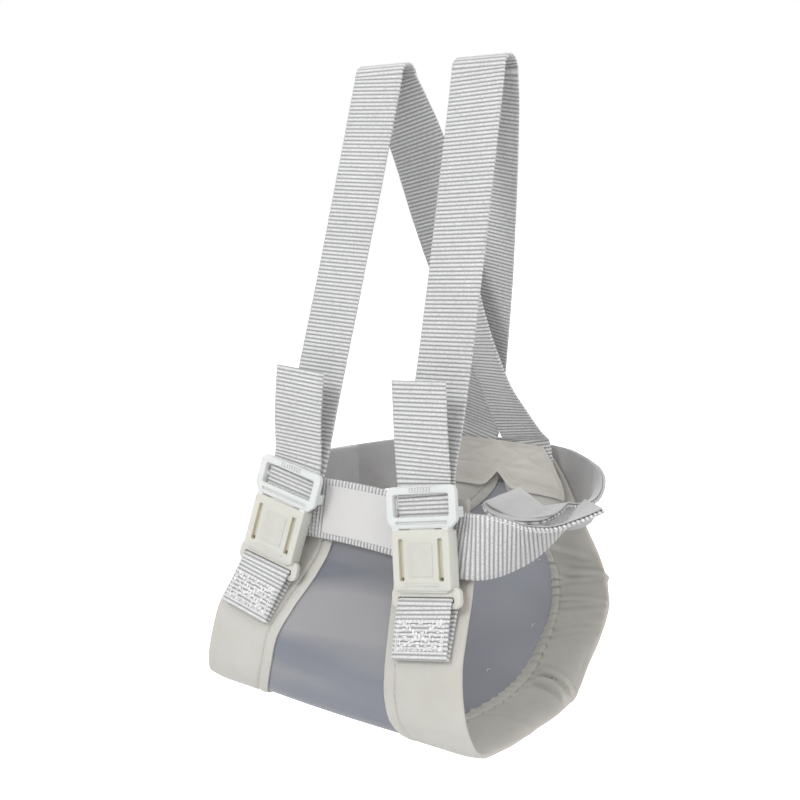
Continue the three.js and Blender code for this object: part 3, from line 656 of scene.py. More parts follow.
def round_bar(back, down, radius, start, turn, steps):
    """Points round a buckle's bar, from an angle at its front."""
    points = []
    for k in range(steps + 1):
        angle = math.radians(start + turn * k / steps)
        points.append(in_buckle(back - radius * math.cos(angle), down - radius * math.sin(angle)))
    return points


# %% [markdown]
# ## Shoulder straps
#
# Each strap starts as a free tail in front of its buckle, turns round the lock bar, rises behind
# itself, folds over the hanging bar and crosses down to the other side of the back patch. The two
# straps lie one behind the other where they cross.

# %% Strap rows
STRAP_END_BACK = SADDLE_DEPTH - BAND_HALF - CLEARANCE - WEBBING_THICK / 2
PATCH_TOP = -4.5
TAIL_TOP = Vector((35.2, 4.35, 50.35))
SHOULDER_ACROSS = 29.5
LANDING = Vector((-17, STRAP_END_BACK, PATCH_TOP + 2))
STRAP_BACK = [
    # share of the way down, then the left strap's swing backwards in mm and its twist in degrees
    (0.06, 1.16, 12), (0.13, 2.76, 21), (0.2, 3.05, 24), (0.35, -2.03, 12), (0.5, -6.96, -4),
    (0.62, -8.99, -16), (0.72, -9.28, -21), (0.82, -7.98, -22), (0.9, -5.51, -13), (0.98, -1.45, -2),
    (1, 0, 0),
]


def level_rows(middles):
    """Rows that stay as level along X as their run lets them."""
    rows = []
    for i, middle in enumerate(middles):
        run = (middles[min(i + 1, len(middles) - 1)] - middles[max(i - 1, 0)]).normalized()
        rows.append((middle, (Vector((1, 0, 0)) - run * run.x).normalized()))
    return rows


def strap_rows(layer):
    """The right strap's rows from its tail to its end under the patch."""
    tail = [
        TAIL_TOP,
        (TAIL_TOP + in_buckle(STRAP_FRONT, 0)) / 2 + Vector((0, -0.6, 0)),
        in_buckle(STRAP_FRONT, -2),
        in_buckle(STRAP_FRONT, LOCK_BAR_DOWN / 2),
    ]
    loop = round_bar(LOCK_BAR_BACK, LOCK_BAR_DOWN, STRAP_LOOP, 0, -180, 8)
    foot = in_buckle(STRAP_REAR, -4)
    radius = BAR_RADIUS + WEBBING_THICK / 2
    shoulder = Vector((SHOULDER_ACROSS, BAR_BACK - radius, BAR_HEIGHT))
    front = [in_buckle(STRAP_REAR, LOCK_BAR_DOWN / 2), foot]
    for share in (0.15, 0.35, 0.55, 0.75, 0.92):
        bow = 4 * share * (1 - share)
        front.append(foot.lerp(shoulder, share) + Vector((0.4 * bow, 1.2 * bow, 0)))
    turn = []
    for k in range(11):
        angle = math.pi * k / 10
        lift = Vector((0, -radius * math.cos(angle), radius * math.sin(angle)))
        turn.append(Vector((SHOULDER_ACROSS, BAR_BACK, BAR_HEIGHT)) + lift)
    back = []
    twists = []
    for share, swing, twist in STRAP_BACK:
        bow = 4 * share * (1 - share)
        apart = layer * (WEBBING_THICK + 2 * CLEARANCE) / 2 if share < 1 else 0
        away = swing if layer < 0 else 0
        back.append(turn[-1].lerp(LANDING, share) + Vector((2.5 * bow, apart + 1.5 * bow + away, 0)))
        twists.append(math.radians(twist) if layer < 0 else 0)
    slope = (turn[-1].x - LANDING.x) / (turn[-1].z - LANDING.z)
    for down in (2, 15):
        back.append(LANDING - Vector((slope * down, 0, down)))
    rows = level_rows([*tail, *loop, *front, *turn, *back])
    for i in range(2, len(tail) + len(loop) + 2):
        rows[i] = (rows[i][0], BUCKLE_ACROSS)
    first = len(rows) - len(back)
    for k, twist in enumerate(twists):
        run = (rows[first + k + 1][0] - rows[first + k - 1][0]).normalized()
        turned = Matrix.Rotation(twist, 3, run) @ rows[first + k][1]
        rows[first + k] = (rows[first + k][0], turned)
    return rows


def mirrored_rows(rows):
    """The same rows on the other side of the middle plane."""
    return [(middle * FLIP, across * FLIP) for middle, across in rows]


# %% Make the straps
for name, rows in (("right", strap_rows(1)), ("left", mirrored_rows(strap_rows(-1)))):
    finished(webbing_bmesh(rows), "webbing_strap_" + name, ["strap_" + name], [webbing])

# %% [markdown]
# ## Edge bands
#
# A strip of vinyl is folded over each side edge of the saddle and sewn through. Its section is an
# open fold, so the grid's columns go out along one ply, round the fold and back along the other,
# then return inside. The table gives the band's inner and outer edges from the buckle to the patch.

# %% Band table
BAND = [
    (16.5, 15.4, -9.5, 56.5, 15.6, -4.5), (18, 12.4, -25, 59, 12.8, -19),
    (20.5, 8.9, -41, 62.5, 10.3, -33), (24, 0.8, -54.2, 66.2, 3, -45.8),
    (29, -9.6, -67.6, 70.6, -8.6, -59), (33, -18, -81, 73.6, -17, -72.4),
    (34.6, -20.6, -93.6, 76.4, -20.2, -88), (37.6, -20, -105, 79.4, -20, -101),
    (42.5, -14.5, -112.8, 82.4, -15.4, -111), (47, 4, -116.3, 84, 3, -115),
    (49.6, 30, -118, 85, 31, -116.6), (50.4, 57, -119, 85.2, 61, -117.3),
    (50.4, 80.5, -115.6, 85.2, 84, -111.5), (50.2, 102, -104, 85.6, 99.5, -95),
    (48.6, 118.5, -90.5, 85.6, 109.5, -80), (44, 127.5, -75, 82, 114, -65),
    (34.5, 134, -61, 75, 116, -51.5), (15, 142, -47, 61.5, 126, -38.5),
    (3.6, 145, -33.5, 42, 145, -24), (0.6, 145, -19, 30, 145, -7),
]
band_inner = smooth_line([Vector(row[:3]) for row in BAND])
band_outer = smooth_line([Vector(row[3:]) for row in BAND])


def band_point(along, out):
    """The band's middle surface at a share along it and a share out from its inner edge."""
    return band_inner(along).lerp(band_outer(along), out)


def band_frame(along):
    """The way across the band and its outward normal."""
    run = band_point(min(along + 0.008, 1), 0.5) - band_point(max(along - 0.008, 0), 0.5)
    across = (band_outer(along) - band_inner(along)).normalized()
    return across, run.cross(across).normalized()


def band_width(along):
    """How wide the band is at a share along it."""
    return (band_outer(along) - band_inner(along)).length


band_length = lengths_along([band_point(k / 200, 0.5) for k in range(201)])[-1]
print("band length", round(band_length), "mm")

# %% Band wrinkles
HEM = 6.0
BAND_ROWS = 780
BAND_WIDTH = 42
SHEET_SLOT = 0.58
EDGE_FOLDS = ((0.602, 0.012, 1.0), (0.65, 0.03, -1.6), (0.745, 0.012, 0.4), (0.79, 0.0055, 1.8))
PLEATS = (
    0.47, 0.5, 0.525, 0.545, 0.562, 0.576, 0.591, 0.604, 0.619, 0.632, 0.648, 0.66, 0.674, 0.686,
    0.7, 0.713, 0.724, 0.739, 0.755, 0.769, 0.781, 0.81, 0.86,
)
PILLOWS = (
    # share along at the hem, bow along, slant along, half width along, rise
    (0.63, 0.075, -0.03, 0.0088, 3.0),
    (0.611, 0.07, -0.026, 0.0082, 2.4),
)
CROSS_FOLDS = (
    # share along at the hem, bow along, slant along, from out, to out, width along, rise
    (0.59, 0.05, -0.01, 0.2, 0.9, 0.005, 0.6),
    (0.662, 0.016, 0.01, 0.1, 0.8, 0.004, 0.4),
    (0.675, 0.01, 0.012, 0.1, 0.95, 0.004, 0.55),
    (0.688, 0.012, 0.01, 0.15, 0.7, 0.0035, 0.5),
    (0.7, 0.01, 0.012, 0.1, 0.9, 0.004, 0.7),
    (0.711, 0.004, 0.01, 0.1, 0.7, 0.0035, 0.5),
    (0.722, -0.008, 0.01, 0.1, 1.0, 0.0045, 0.75),
    (0.735, 0.006, 0.006, 0.1, 0.8, 0.004, 0.75),
    (0.749, 0.008, -0.004, 0.1, 1.0, 0.004, 0.9),
    (0.775, 0.0, 0.012, 0.15, 1.0, 0.0045, 0.8),
    (0.79, 0.006, 0.004, 0.35, 1.0, 0.005, 1.3),
    (0.84, 0.01, -0.02, 0.1, 0.8, 0.006, 0.6),
    (0.52, 0.02, 0.0, 0.3, 1.0, 0.006, 0.5),
)


def bell(distance, width):
    """A soft bump that falls off with the distance."""
    return math.exp(-((distance / width) ** 2))


def ease(value, low, high):
    """Rises smoothly from 0 to 1 between two values."""
    part = min(max((value - low) / (high - low), 0), 1)
    return part * part * (3 - 2 * part)


def fold_rise(along):
    """The big folds at the band's outer edge."""
    return sum(height * bell(along - at, long) for at, long, height in EDGE_FOLDS)


def crumple(along, out, face, hem):
    """How far the vinyl stands off its even surface: cross folds, hem pleats and soft waves."""
    lift = 0
    inside = 1 if face < 0 else 0.55
    for at, bow, slant, low, high, width, rise in CROSS_FOLDS:
        ridge = at + slant * out + bow * out * (1 - out)
        hold = ease(out, low - 0.08, low + 0.08) * (1 - ease(out, high - 0.04, high + 0.16))
        fold = bell(along - ridge, width) - 0.55 * bell(along - ridge - 1.9 * width, width)
        lift += inside * rise * hold * fold
    for at, bow, slant, half, rise in PILLOWS:
        ridge = at + slant * out + bow * out * (1 - out)
        crown = 1 - ((along - ridge) / half) ** 2
        if crown > 0:
            hold = ease(out, 1.1 * hem, 2.4 * hem) * (1 - ease(out, 0.9, 1.02))
            lift += inside * rise * hold * crown**0.44
        for side in (-1, 1):
            lift -= 0.5 * inside * ease(out, hem, 2 * hem) * bell(along - ridge - side * half, 0.002)
    if out < 1.1 * hem:
        for at in PLEATS:
            step = (along - at - 0.003 * math.sin(out / hem * 2)) / 0.0095
            if 0 < step < 1:
                lift += inside * (1 + 0.3 * math.sin(at * 517)) * (1 - step) * min(step * 7, 1)
            lift -= 0.35 * inside * bell(along - at, 0.0015)
    bend = 0.35 + bell(along - 0.68, 0.2)
    seed = 5.0 if face > 0 else 40.0
    lift += bend * 0.42 * noise.noise(Vector((along * 46, out * 1.7, seed)))
    lift += bend * (0.1 + 0.3 * bell(out, 0.16)) * noise.noise(Vector((along * 120, out * 2.3, seed + 9)))
    return lift


# %% Band section
def band_section(width):
    """The folded section: share out, off the middle, and which way the vinyl faces."""
    hem = HEM / width
    outs = [0, 0.3 * hem, 0.7 * hem, 0.92 * hem, hem, 1.08 * hem, 1.3 * hem, 1.8 * hem]
    outs += [0.33, 0.41, 0.49, 0.57, 0.65, 0.73, 0.8, 0.86, 0.91, 0.945]
    lifts = [1.4, 1.75, 1.85, 1.6, 1.02, 1.6, 1.85, 1.9]
    lifts += [1.92, 1.95, 1.98, 2, 2, 1.95, 1.8, 1.6, 1.35, 1.1]
    ply = [(out, lift, 1) for out, lift in zip(outs, lifts)]
    fold = []
    for degrees in (60, 35, 12, -12, -35, -60):
        angle = math.radians(degrees)
        fold.append((0.965 + 0.035 * math.cos(angle), 1.1 * math.sin(angle), math.sin(angle)))
    back = [(out, -lift, -1) for out, lift, _ in reversed(ply)]
    inside = [(out, -SHEET_SLOT, 0) for out in (0, 0.35, 0.9)]
    inside += [(out, SHEET_SLOT, 0) for out in (0.9, 0.35, 0)]
    return [*ply, *fold, *back, *inside]


def band_bmesh():
    """The right band."""
    flat = band_section(BAND_WIDTH)
    rows = []
    for row in range(BAND_ROWS + 1):
        along = row / BAND_ROWS
        width = band_width(along)
        rows.append((along, width, *band_frame(along), band_section(width)))

    def place(column, row):
        along, width, across, normal, section = rows[row]
        out, off, face = section[column % len(flat)]
        lift = crumple(along, out, face, HEM / width) * face if face else 0
        outwards = fold_rise(along) if face and out > 0.9 else 0
        return placed(band_point(along, out) + normal * (off + lift) + across * outwards)

    def plan(column, row):
        out, off, _ = flat[column % len(flat)]
        turned = BAND_WIDTH * (out if off >= 0 else 2 - out)
        return (turned * MM, row / BAND_ROWS * band_length * MM)

    bm = laid_grid(len(flat), BAND_ROWS, place, plan)
    closed_tube(bm)
    return bm


# %% Make the bands
def mirror_bmesh(bm):
    """Turns a piece over to the other side."""
    bmesh.ops.scale(bm, vec=(-1, 1, 1), verts=bm.verts)
    bmesh.ops.reverse_faces(bm, faces=bm.faces)


for name, side in SIDES.items():
    band = band_bmesh()
    if side == LEFT:
        mirror_bmesh(band)
    finished(band, "vinyl_band_" + name, ["edge_band_" + name], [vinyl])

# %% [markdown]
# ## The saddle
#
# The clear sheet runs from inside one band to inside the other. Between the bands each row is an
# arch, which a cubic Bezier gives from two ends and their directions. The sheet is one grid, and a
# Solidify modifier gives it its thickness.

# %% Saddle sheet
BAND_STEPS = 48
SHELL_FIRST = 3
SHELL_LAST = 46
SHELL_ROWS = 170
ARCH_COLUMNS = 40
TUCKS = (0.5, 0.35, 0.2)


def arch_point(along, share):
    """A point of the arch between both bands' inner edges."""
    edge = band_point(along, 0)
    lead = (edge - band_point(along, 1)).normalized() * edge.x * 2 / 3
    handles = [edge * FLIP, (edge + lead) * FLIP, edge + lead, edge]
    weights = [(1 - share) ** 3, 3 * share * (1 - share) ** 2, 3 * share**2 * (1 - share), share**3]
    return sum((h * w for h, w in zip(handles, weights)), Vector())


def shell_place(column, row):
    """A corner of the sheet: the tucks inside the bands first and last, the arch between."""
    along = (SHELL_FIRST + (SHELL_LAST - SHELL_FIRST) * row / SHELL_ROWS) / BAND_STEPS
    last = ARCH_COLUMNS + 2 * len(TUCKS)
    if column < len(TUCKS):
        return placed(band_point(along, TUCKS[column]) * FLIP)
    if column > last - len(TUCKS):
        return placed(band_point(along, TUCKS[last - column]))
    return placed(arch_point(along, (column - len(TUCKS)) / ARCH_COLUMNS))


shell = laid_grid(ARCH_COLUMNS + 2 * len(TUCKS), SHELL_ROWS, shell_place, even_plan(3.5, 2))
finished_sheet(shell, "saddle_clear", ["shell"], clear, 0.9)

# %% [markdown]
# ## Waist belt
#
# The belt's two ends are webbing with a brushed lining on the inner face. The front end leans back
# with the child's belly and its free end twists outwards, so the table gives a lean as well.

# %% Belt tables
BELT_FRONT = [
    (-71, 98, -24, 0), (-79, 76, -24, 0), (-81.5, 42, -24, 0), (-76, 20, -22.5, -4),
    (-62, 7.6, -21, -12), (-28, 8.6, -20, -12), (0, 8.6, -20, -12), (28, 8.4, -21.5, -12),
    (48, 7, -23.4, -12), (60, 5.6, -23.8, -14), (67.5, 7.3, -23.6, -6), (75.5, 12.8, -23.4, 14),
    (83.5, 18.8, -22.6, 36), (91.5, 25.6, -19.2, 52), (99.5, 33, -12.8, 66), (107.5, 41, -5.2, 80),
]
BELT_BACK = [
    (-86.5, 36, -24, 0), (-84.5, 75, -25, 0), (-73, 112, -25, 0), (-64, 129, -24.5, 0),
    (-53, 141, -23.5, 0), (-40, 149.65, -22.5, 0), (-20, 149.65, -20.5, 0), (0, 149.65, -20, 0),
    (20, 149.65, -20, 0), (40, 149.65, -21.5, 0), (53, 142, -22.5, 0), (64.5, 130, -22.5, 0),
    (73, 115, -21.5, 9), (79.2, 98, -21, 24), (82.3, 80, -20.3, 43), (82.7, 63, -17.6, 60),
    (77.6, 49.8, -13.4, 71), (76, 38.4, -12.2, 87), (73, 29.2, -10, 99), (65, 28.8, -5, 93),
]
BELT_STACK = WEBBING_THICK + CLEARANCE + LINING_THICK
WEBBING_OUT = (BELT_STACK - WEBBING_THICK) / 2
LINING_IN = (BELT_STACK - LINING_THICK) / 2


def belt_rows(table, turn, steps=84):
    """The belt's rows, with the way across tilted by each row's lean."""
    line = smooth_line([Vector(row[:3]) for row in table])
    lean_line = smooth_line([Vector((i, row[3], 0)) for i, row in enumerate(table)])
    rows = []
    for k in range(steps + 1):
        share = k / steps
        run = line(min(share + 0.004, 1)) - line(max(share - 0.004, 0))
        run.z = 0
        run.normalize()
        outwards = Vector((-run.y * turn, run.x * turn, 0))
        tilt = math.radians(lean_line(share).y)
        rows.append((line(share), Vector((0, 0, math.cos(tilt))) + outwards * math.sin(tilt)))
    return rows


front_rows = belt_rows(BELT_FRONT, -1)
back_rows = belt_rows(BELT_BACK, 1)

# %% Make the belt
BELTS = (("belt_front", front_rows, 1), ("belt_back", back_rows, -1))
for name, rows, out in BELTS:
    finished(webbing_bmesh(rows, out * WEBBING_OUT), "webbing_" + name, [name], [webbing])
for name, rows, out in BELTS:
    strip = cloth_bmesh(rows, WEBBING_WIDTH, LINING_THICK, -out * LINING_IN, 1.0, 0.15)
    finished(strip, "lining_" + name, [name + "_lining"], [lining])

# %% Make the label
LABEL_LENGTH = 52
LABEL_HEIGHT = 24
label_out = WEBBING_OUT + WEBBING_THICK / 2 + CLEARANCE + LABEL_THICK / 2
label_rows = [row for row in front_rows if abs(row[0].x) < LABEL_LENGTH / 2 and row[0].y < 60]
label = cloth_bmesh(label_rows, LABEL_HEIGHT, LABEL_THICK, label_out, 0.8, 0.1)
finished(label, "satin_label", ["belt_label"], [satin])

# %% [markdown]
# ## Back patch
#
# The patch closes the back: a shaped piece of vinyl that takes both straps. It is a grid laid
# between the table's top and bottom edges, pressed in a little along its seams, and thickened.

# %% Patch
PATCH = [
    # across, top, bottom, and how far the bottom edge comes forwards over the legs
    (0, -4.5, -23, 0), (3.5, -4.5, -27, 0), (7, -4.5, -31, 0), (12, -4.5, -33, 0),
    (20, -4.5, -33, 0), (29, -5, -32.8, 1.3), (36, -14.3, -32.5, 3.4), (42, -22.4, -32.2, 5.4),
    (47.5, -29.8, -32, 9),
]
PATCH_Y = STRAP_END_BACK - WEBBING_THICK / 2 - 2 * CLEARANCE - VINYL_THICK / 2
PATCH_HALF_COLUMNS = 80
PATCH_ROWS = 52
PATCH_SEAMS = [
    # from and to, as across and up, on both halves: the straps' boxes and crosses, then the hems
    ((3.5, -7, 29, -7), (29, -7, 33.5, -18)), ((4, -19, 34, -19),), ((4, -7, 33, -19),), ((29, -7, 4, -19),),
    ((0.8, -20.4, 9.5, -29.6), (9.5, -29.6, 44, -30)), ((0.8, -17.6, 11, -27.6), (11, -27.6, 42, -28)),
    ((31.5, -10.6, 43.6, -27.5),),
]


def patch_edges(x):
    """The patch's top, bottom and forward reach at a distance from the middle."""
    reach = min(abs(x), PATCH[-1][0])
    for a, b in zip(PATCH, PATCH[1:]):
        if reach <= b[0]:
            share = (reach - a[0]) / (b[0] - a[0])
            return tuple(a[k] + (b[k] - a[k]) * share for k in (1, 2, 3))
    return PATCH[-1][1:]


def patch_y(x, z):
    """The middle of the patch's thickness."""
    top, bottom, fore = patch_edges(x)
    return PATCH_Y - fore * (PATCH[0][1] - z) / (PATCH[0][1] - bottom)


def to_segment(x, z, segment):
    """The distance from a place on the patch to a piece of seam."""
    ax, az, bx, bz = segment
    along = Vector((bx - ax, bz - az))
    away = Vector((x - ax, z - az))
    share = min(max(away.dot(along) / along.length_squared, 0), 1)
    return (away - along * share).length


def patch_dent(x, z):
    """How far the seams pull the vinyl in, and how far it puffs between them."""
    near = min(to_segment(abs(x), z, segment) for seam in PATCH_SEAMS for segment in seam)
    puff = 0.35 * (1 - bell(near, 1.5)) + 0.35 * noise.noise(Vector((x * 0.13, z * 0.2, 7)))
    return 0.3 - puff


def patch_place(column, row):
    """A corner of the patch."""
    x = PATCH[-1][0] * (column / PATCH_HALF_COLUMNS - 1)
    top, bottom, _ = patch_edges(x)
    z = top + (bottom - top) * row / PATCH_ROWS
    return placed(Vector((x, patch_y(x, z) + patch_dent(x, z), z)))


patch_bm = laid_grid(2 * PATCH_HALF_COLUMNS, PATCH_ROWS, patch_place, even_plan(0.6, 0.55))
# The patch's lighter copy of the vinyl is painted light.
patch = finished_sheet(patch_bm, "vinyl_patch", ["back_patch"], painted_light_vinyl, 1.1)
patch_round = patch.modifiers.new("edge", "BEVEL")
patch_round.width = 0.25 * MM
patch_round.segments = 2

# %% [markdown]
# ### The lining's loose end
#
# The back belt's lining is wider than its webbing at the end and bridges the turn as a soft tongue.
# Two curves hold it: one along the webbing's front edge and one along the tongue's own free edge.

# %% Tongue
TONGUE_COLUMNS = 24
TONGUE_ROWS = 30
TONGUE_FREE = ((66.5, 45.5, -3.8), (74, 41.5, -5.5), (79.8, 39.5, -7.8), (85.2, 39, -9.8), (89, 42, -11.6))
TONGUE_FRONT = ((65.3, 14.6, -4), (70, 15.8, -7), (79.5, 19, -10.6), (87, 26.5, -11), (91, 34, -10.4))
tongue_free, tongue_front = (
    smooth_line([Vector(point) for point in edge]) for edge in (TONGUE_FREE, TONGUE_FRONT)
)


def tongue_place(column, row):
    """A corner of the tongue, which is crowned between its edges."""
    along = row / TONGUE_ROWS
    across = column / TONGUE_COLUMNS
    point = tongue_front(along).lerp(tongue_free(along), across)
    crown = 1.2 * math.sin(math.pi * across) * math.sin(math.pi * min(along * 1.4, 1))
    return placed(point + Vector((0, 0, crown + 0.2 * noise.noise(point * 0.2))))


tongue = laid_grid(TONGUE_COLUMNS, TONGUE_ROWS, tongue_place, even_plan(1.2, 1.2))
finished_sheet(tongue, "lining_belt_tongue", None, lining, LINING_THICK)

# %% [markdown]
# ## Scuffs
#
# The photograph shows small crescents in the saddle, where the sheet was nicked and turned up. Each
# is a curved sliver that tapers to both ends and stands a little off the sheet.

# %% Crescents on the saddle
SCUFF_ROWS = 16
SCUFF_SIDES = 8
SCUFFS = [
    # share along and across the saddle, radius, first angle, sweep
    (0.708, 0.917, 1.5, 200, 170), (0.63, 0.817, 1.3, 200, 180), (0.822, 0.902, 2.2, 150, 70),
]


def scuff_bmesh(along, share, radius, first, sweep):
    """A curved sliver on the saddle."""
    middle = arch_point(along, share)
    run = (arch_point(along + 0.004, share) - middle).normalized()
    side = (arch_point(along, share + 0.01) - middle).normalized()
    normal = run.cross(side).normalized()
    side = normal.cross(run)
    normal *= -1 if normal.z < 0 else 1

    def place(column, row):
        angle = math.radians(first + sweep * row / SCUFF_ROWS)
        thick = 0.1 + 0.3 * math.sin(math.pi * row / SCUFF_ROWS)
        out = run * math.cos(angle) + side * math.sin(angle)
        turn = 2 * math.pi * (column % SCUFF_SIDES) / SCUFF_SIDES
        offset = out * math.cos(turn) * thick + normal * (math.sin(turn) * thick + 0.7)
        return placed(middle + out * radius + offset)

    bm = laid_grid(SCUFF_SIDES, SCUFF_ROWS, place, even_plan(0.2, 0.3))
    closed_tube(bm)
    return bm


for number, scuff in enumerate(SCUFFS, 1):
    finished(scuff_bmesh(*scuff), "scuff_" + str(number), None, [adjuster_plastic])

# %% [markdown]
# ## Tabs
#
# A short loop of webbing goes round each buckle's lower bar, and both plies are sewn to the band.
# Its rows start at the sewn end of the front ply, go up and over the bar and come down behind.

# %% Tab rows
TAB_SHARE = 0.52
TAB_LENGTH = 24.5
TAB_BOW = 0.8


def nearest_on_band(point):
    """The share along the band, on its middle, that is nearest to a point."""
    shares = [k / 400 * 0.45 for k in range(401)]
    return min(shares, key=lambda along: (band_point(along, TAB_SHARE) - point).length)


def tab_rows():
    """The right tab's rows."""
    bar = in_buckle(LOOP_BAR_BACK, LOOP_BAR_DOWN)
    down = (band_point(0.31, TAB_SHARE) - band_point(0.19, TAB_SHARE)).normalized()
    sewn = nearest_on_band(bar + down * TAB_LENGTH)
    seat_across, _ = band_frame(sewn)
    seat_across = (seat_across - down * seat_across.dot(down)).normalized()
    outwards = down.cross(seat_across)
    rear = band_point(sewn, TAB_SHARE) + outwards * (BAND_HALF + 3 * CLEARANCE + WEBBING_THICK / 2)
    fore = rear + outwards * (WEBBING_THICK + CLEARANCE)
    over = round_bar(LOOP_BAR_BACK, LOOP_BAR_DOWN, TAB_LOOP, 0, 180, 8)
    rows = []
    for s in (0, 0.3, 0.6, 0.85):
        middle = fore.lerp(over[0], s) + outwards * TAB_BOW * s * (1 - s)
        rows.append((middle, seat_across.lerp(BUCKLE_ACROSS, s).normalized()))
    rows += [(middle, BUCKLE_ACROSS) for middle in over]
    for s in (0.15, 0.4, 0.7, 1):
        rows.append((over[-1].lerp(rear, s), BUCKLE_ACROSS.lerp(seat_across, s).normalized()))
    return rows


# %% Make the tabs
for name, side in SIDES.items():
    rows = tab_rows() if side == RIGHT else mirrored_rows(tab_rows())
    finished(webbing_bmesh(rows), "webbing_tab_" + name, ["tab_" + name], [webbing])

# %% [markdown]
# ## Buckles
#
# A side release buckle is two flat mouldings. A flat outline with holes is filled, extruded to its
# thickness and bevelled, which gives the rounded edges that catch the light. The bars, cheeks and
# prongs are small boxes and rods that sink into it.

# %% Moulding helpers
HOLE_MARGIN = 0.3


def round_outline(width, top, bottom, corner, steps=6):
    """A rectangle with round corners, as across and down."""
    points = []
    corners = (
        (1, top + corner, -90), (1, bottom - corner, 0), (-1, bottom - corner, 90), (-1, top + corner, 180)
    )
    for side, down, start in corners:
        for k in range(steps + 1):
            angle = math.radians(start + 90 * k / steps)
            x = side * (width / 2 - corner) + corner * math.cos(angle)
            points.append((x, down + corner * math.sin(angle)))
    return points


def soften(bm, faces, offset, segments=2):
    """Bevels the sharp edges of the faces."""
    edges = {edge for face in faces for edge in face.edges}
    sharp = [edge for edge in edges if len(edge.link_faces) == 2 and edge.calc_face_angle() > 0.7]
    bmesh.ops.bevel(
        bm, geom=sharp, offset=offset, segments=segments, profile=0.5, affect="EDGES", material=-1,
        clamp_overlap=True,
    )


def add_plate(bm, outline, holes, front, back, bevel, wall=0):
    """A flat outline with holes, with softened edges; wall is the material inside the holes."""
    part = bmesh.new()
    edges = []
    for ring in [outline, *holes]:
        verts = [part.verts.new((x, front, -down)) for x, down in ring]
        edges += [part.edges.new((a, b)) for a, b in zip(verts, verts[1:] + verts[:1])]
    filled = bmesh.ops.triangle_fill(part, use_beauty=True, use_dissolve=False, edges=edges)
    faces = [item for item in filled["geom"] if isinstance(item, bmesh.types.BMFace)]
    raised = bmesh.ops.extrude_face_region(part, geom=faces)
    moved = [item for item in raised["geom"] if isinstance(item, bmesh.types.BMVert)]
    bmesh.ops.translate(part, vec=(0, back - front, 0), verts=moved)
    bmesh.ops.recalc_face_normals(part, faces=part.faces)
    part.normal_update()
    reach = max(x for x, _ in outline) - HOLE_MARGIN
    top = min(down for _, down in outline) + HOLE_MARGIN
    foot = max(down for _, down in outline) - HOLE_MARGIN
    for face in part.faces:
        centre = face.calc_center_median()
        inside = abs(centre.x) < reach and top < -centre.z < foot
        if wall and abs(face.normal.y) < 0.3 and inside:
            face.material_index = wall
    soften(part, list(part.faces), bevel)
    join(bm, part)


def join(bm, part):
    """Adds a part's faces to the piece."""
    mesh = bpy.data.meshes.new("part")
    part.to_mesh(mesh)
    part.free()
    bm.from_mesh(mesh)
    bpy.data.meshes.remove(mesh)


def add_block(bm, x0, x1, y0, y1, down0, down1, bevel=0.3, taper=0.0):
    """A small softened block; taper narrows its lower end."""
    part = bmesh.new()
    bmesh.ops.create_cube(part, size=1)
    bmesh.ops.scale(part, vec=(x1 - x0, y1 - y0, down1 - down0), verts=part.verts)
    bmesh.ops.translate(part, vec=((x0 + x1) / 2, (y0 + y1) / 2, -(down0 + down1) / 2), verts=part.verts)
    low = [vert for vert in part.verts if vert.co.z < -(down0 + down1) / 2]
    for vert in low:
        vert.co.x += ((x0 + x1) / 2 - vert.co.x) * taper
    soften(part, list(part.faces), bevel)
    join(bm, part)


def add_rod(bm, radius, x0, x1, back, down):
    """A rod across the buckle."""
    part = bmesh.new()
    bmesh.ops.create_cone(part, cap_ends=True, segments=20, radius1=radius, radius2=radius, depth=x1 - x0)
    bmesh.ops.rotate(part, matrix=Matrix.Rotation(math.pi / 2, 3, "Y"), verts=part.verts)
    bmesh.ops.translate(part, vec=((x0 + x1) / 2, back, -down), verts=part.verts)
    join(bm, part)


def into_buckle(bm, side):
    """Moves a moulding from the buckle's frame to its place, in metres."""
    bmesh.ops.transform(bm, matrix=buckle_matrix(side), verts=bm.verts)
    for vert in bm.verts:
        vert.co = placed(vert.co)


# %% Adjuster
FRAME_WIDTH = 39
FRAME_THICK = 3


def adjuster_bmesh(side):
    """The upper half: frame, window, lock bar and the tongue that enters the socket."""
    bm = bmesh.new()
    top = round_outline(FRAME_WIDTH, 0, 30, 3.5)
    upper = [(x, down) for x, down in top if down < 15]
    shoulders = [(19.5, 15.2), (19.1, 16.6), (16.6, 19.2), (15.6, 19.8)]
    shoulders += [(-x, down) for x, down in reversed(shoulders)]
    right = [point for point in upper if point[0] > 0]
    left = [point for point in upper if point[0] < 0]
    outline = [*right, *shoulders, *left]
    window = round_outline(31.2, 3.8, 14.2, 1)
    slot = round_outline(29, 16.4, 17.7, 0.6)
    notch = round_outline(12, 0.9, 3.0, 0.5)
    add_plate(bm, outline, [window, slot, notch], 0, FRAME_THICK, 0.55)
    add_block(bm, -6.2, 6.2, 0.7, 2.4, 0.7, 3.2, 0.1)
    for k in range(7):
        x = -4.8 + 1.6 * k
        add_block(bm, x - 0.4, x + 0.4, 0.15, 1.2, 0.8, 3.1, 0.15)
    for x in (-1, 1):
        inner = sorted((x * 15.6, x * 19))
        add_block(bm, *inner, 2.5, 7.6, 10.2, 15.2, 0.5)
        prong = sorted((x * 12.2, x * 15.7))
        add_block(bm, *prong, -1.4, 3.2, 19.0, 23.8, 0.45, taper=0.15)
    add_rod(bm, 1, -16.6, 16.6, LOCK_BAR_BACK, LOCK_BAR_DOWN)
    add_block(bm, -7, 7, 0.5, 3, 18.8, 29.8, 0.3)
    add_block(bm, -14.9, 14.9, 1.1, 2.3, 16.1, 18, 0.2)
    into_buckle(bm, side)
    return bm


# %% Socket
SLOT_ACROSS = 10.95


